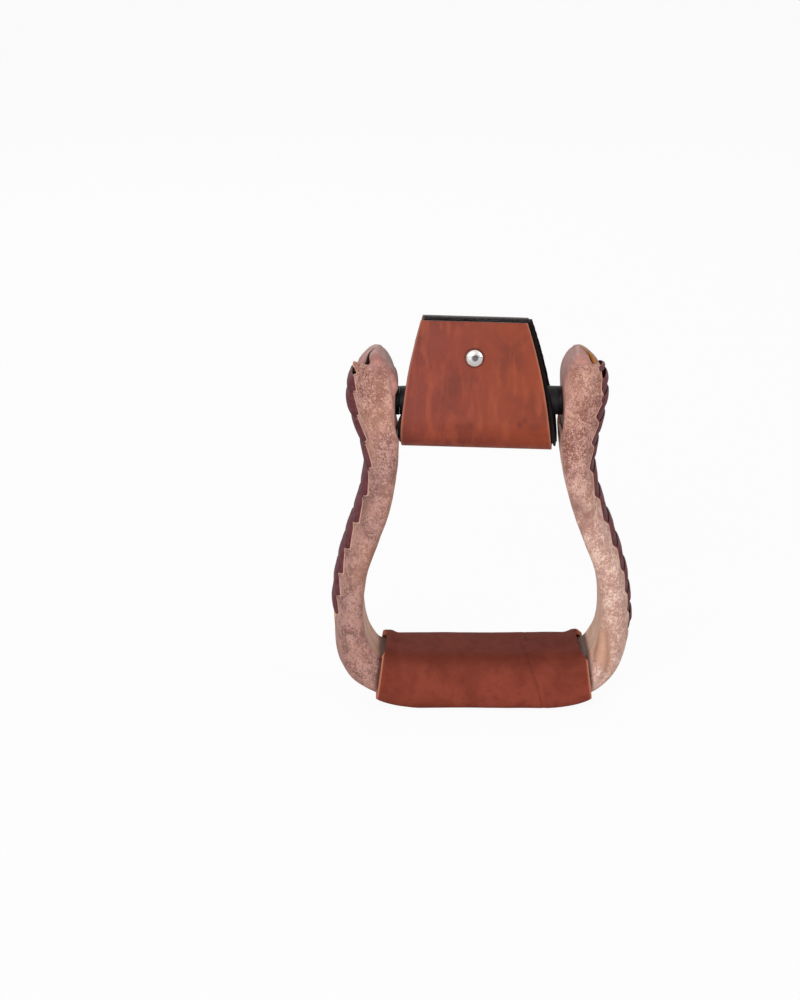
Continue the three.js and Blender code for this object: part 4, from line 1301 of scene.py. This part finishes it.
# %% Spinning a profile
def turned(profile, direction, at, sides=64, rounding=0.0):
    """Spins points of (length along the axis, radius) in millimetres once round the axis."""
    bm = bmesh.new()
    direction = Vector(direction)
    corners = [bm.verts.new((direction * a + Vector((0, 0, 1)) * r) * MM) for a, r in profile]
    closed = profile[0][1] > 0 and profile[-1][1] > 0
    edges = [bm.edges.new(pair) for pair in zip(corners, corners[1:] + corners[:1] * closed)]
    bmesh.ops.spin(
        bm, geom=corners + edges, cent=(0, 0, 0), axis=direction, angle=2 * math.pi, steps=sides, use_merge=True
    )
    bmesh.ops.remove_doubles(bm, verts=bm.verts, dist=1e-7)
    bmesh.ops.recalc_face_normals(bm, faces=bm.faces)
    if rounding:
        rims = [e for e in bm.edges if e.is_manifold and e.calc_face_angle() > math.radians(35)]
        bmesh.ops.bevel(
            bm, geom=rims, offset=rounding * MM, affect="EDGES", segments=3, profile=0.5, material=-1
        )
    bmesh.ops.translate(bm, verts=bm.verts, vec=Vector(at) * MM)
    return bm


ALONG_X, ALONG_Y = (1, 0, 0), (0, 1, 0)
print("the roller's axis is", ROLLER_Z, "mm above the floor")

# %% Finishes of the roller and the metal
roller_black = Finish("black roller", Specular_IOR_Level=0.3)
scuff = roller_black.noise(0.003, 3.0, 0.6, 0.3, roller_black.coordinates((0.3, 1, 1)))
roller_black.colour(roller_black.mix(scuff.ramp(0.35, 0.7), (10, 10, 13), (26, 26, 31)))
roller_black.set("Roughness", 0.42 + scuff * 0.25)
roller_black.bumps(scuff, 0.00012, 0.4)

steel = fibrous("zinc-coated steel", 0.002, (168, 168, 170), (138, 139, 142), 0.00005, 0.4, Metallic=1.0)
steel.set("Roughness", 0.28 + steel.fibre * 0.22)
# the washers beside the roller are near black
dark_steel = fibrous("near-black steel", 0.0018, (26, 25, 27), (44, 42, 43), 0.00005, 0.4, Metallic=1.0)
dark_steel.set("Roughness", 0.42 + dark_steel.fibre * 0.2)

nickel = Finish("polished nickel", Metallic=1.0)
haze = nickel.noise(0.003, 3.0, 0.6)
# painted dark reflection in the middle of the rivet's dome, round its axis, which also darkens the end of the post
# behind the burr
from_middle = nickel.from_axis(RIVET_X + NECK_X + 0.2, ROLLER_Z + RIVET_Z + 0.6)
painted_dark_reflection = 1 - (from_middle + haze * 0.0012).ramp(0.0018, 0.0029)
bright = nickel.mix(haze, (236, 234, 232), (214, 211, 208))
nickel.colour(nickel.mix(painted_dark_reflection * 0.85, bright, (74, 68, 74)))
nickel.set("Roughness", 0.08 + haze * 0.12)

wood = Finish("bent wood")
grain = wood.noise(0.004, 4.0, 0.6, 0.6, wood.coordinates((1, 2.5, 0.25)))
pore = wood.noise(0.0012, 2.0, 0.5, 0.0, wood.coordinates((1, 3, 0.1)))
tone = wood.mix(grain.ramp(0.3, 0.7), (206, 166, 118), (172, 128, 82))
# painted shade: the wood is dark above 183 mm, where it shows in the slots between the caps' edges
wood.colour(wood.mix(wood.part(2).ramp(0.183, 0.188), tone, (44, 26, 20)))
wood.set("Roughness", 0.5 + pore * 0.25)
wood.bumps(grain * 0.6 + pore * 0.4, 0.0002, 0.5)
print("roller, metal and wood finishes made")

# %% Roller, washers and rivet
BORE = 4.4  # inside radius of the roller and of the washers beside it
low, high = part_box("roller_sleeve")
middle = (high.x + low.x) / 2 / MM
half_roller = (high.x - low.x) / 2 / MM + 0.1
# the roller is a little worn at its ends
half_profile = [(half_roller, BORE), (half_roller, 7.5), (half_roller - 5, 7.68)]
roller_profile = [(-a, r) for a, r in half_profile] + [(0, 7.75)] + half_profile[::-1]
bm = turned(roller_profile, ALONG_X, (middle, 0, ROLLER_Z), rounding=0.2)
piece("roller", bm, "roller", "roller", [roller_black], ["roller_sleeve"], sharp=50)

for side, end in SIDES:
    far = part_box("roller_washer_" + end)[side > 0].x / MM + side * 0.9  # a little into the limb
    near = middle + side * (half_roller + 0.03)  # a hair clear of the roller
    bm = turned([(near, BORE), (near, 7.6), (far, 7.6), (far, BORE)], ALONG_X, (0, 0, ROLLER_Z), rounding=0.2)
    piece("washer_beside_roller_" + end, bm, "frame", "dark_steel", [dark_steel], ["roller_washer_" + end], sharp=50)

cap_face, post_end = (corner.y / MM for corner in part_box("rivet_cap"))
burr_face, burr_end = (corner.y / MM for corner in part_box("rivet_burr"))
# from the peened end of the post, through the burr, to the rim of the cap and over its dome
cap_profile = [
    (post_end, 0), (post_end - 0.5, 1.3), (post_end - 1.0, 2.2), (burr_end + 0.1, 2.1), (burr_end - 0.1, 1.6),
    (cap_face + 2.5, 1.6), (cap_face + 2.1, 4.2), (cap_face + 1.8, 4.6), (cap_face + 1.5, 4.6),
]
dome = [(cap_face + 1.5 * (1 - math.sin(angle)), 4.5 * math.cos(angle)) for angle in quarter_turn(8)[1:-1]]
cap_profile += dome + [(cap_face, 0)]
burr_profile = [(burr_face, 1.9), (burr_face, 4.2), (burr_end, 4.0), (burr_end, 1.9)]
for name, profile, node, rounding in (
    ("rivet", cap_profile, "rivet_cap", 0.0),
    ("burr", burr_profile, "rivet_burr", 0.2),
):
    bm = turned(profile, ALONG_Y, (RIVET_X + NECK_X, 0, ROLLER_Z + RIVET_Z), 48, rounding)
    piece(name, bm, "keeper", "nickel", [nickel], [node], sharp=50)

# %% [markdown]
# ## The solids that stay
# The wood, the bolt with its nut, and the washers in the wood's recesses have the right shape already, so
# they keep it and only get a finish.

# %% Finishes on the solids
for node, finish in (
    ("wood_bow", wood),
    ("stirrup_bolt", steel),
    ("bolt_nut", steel),
    ("seat_washer_left", steel),
    ("seat_washer_right", steel),
):
    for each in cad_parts[node].material_slots:
        each.material = finish.material
    print(node, "gets", finish.material.name)

# %% [markdown]
# ## Floor, background and light
# The photograph has a white background and soft light from the front. The floor is a pale plane that
# keeps the stirrup's shadow. Rays of the camera, of mirrors and of glass see the world as white, while
# the light that it sheds stays low. Three large soft lamps do the rest.

# %% Floor
pale = (0.9, 0.9, 0.9, 1.0)
floor_finish = Finish("pale floor", Roughness=0.9, Base_Color=pale)
seen = floor_finish.node("ShaderNodeLightPath", {}, {}, "Is Camera Ray") * 0.94
matt = Value(floor_finish, floor_finish.shader.outputs[0])
glow = floor_finish.node("ShaderNodeEmission", {}, {})
floor_finish.surface("Material Output", matt, glow, seen)
bm = bmesh.new()
bmesh.ops.create_grid(bm, x_segments=1, y_segments=1, size=6.0)
mesh = bpy.data.meshes.new("floor")
bm.to_mesh(mesh)
bm.free()
mesh.materials.append(floor_finish.material)
floor = add_object("floor", mesh)
print("floor made")

# %% World and lamps
world = bpy.data.worlds.new("studio")
world.use_nodes = True
bpy.context.scene.world = world
sky = Nodes(world.node_tree)
camera_ray, mirror_ray, glass_ray = (
    sky.node("ShaderNodeLightPath", {}, {}, ray) for ray in ("Is Camera Ray", "Is Glossy Ray", "Is Transmission Ray")
)
dim, white = (
    sky.node("ShaderNodeBackground", {}, {"Color": (1, 1, 1, 1), "Strength": strength}) for strength in (0.34, 1.0)
)
sky.surface("World Output", dim, white, camera_ray.most(mirror_ray).most(glass_ray))

middle_of_all = (solids_box[0] + solids_box[1]) / 2
for name, offset, size, power in (
    ("front_lamp", Vector((-0.6, -1.55, 0.7)), 1.0, 18.5),
    ("right_lamp", Vector((1.3, -0.9, 0.6)), 0.9, 6.0),
    ("rear_lamp", Vector((-0.4, 1.5, 1.1)), 0.9, 5.0),
):
    lamp = bpy.data.lights.new(name, "AREA")
    lamp.shape = "SQUARE"
    lamp.size = size
    lamp.energy = power
    holder = add_object(name, lamp)
    holder.location = middle_of_all + offset
    holder.rotation_mode = "QUATERNION"
    holder.rotation_quaternion = (-offset).to_track_quat("-Z", "Y")
bpy.context.scene.view_settings.view_transform = "Standard"
print("three lamps and a white world")
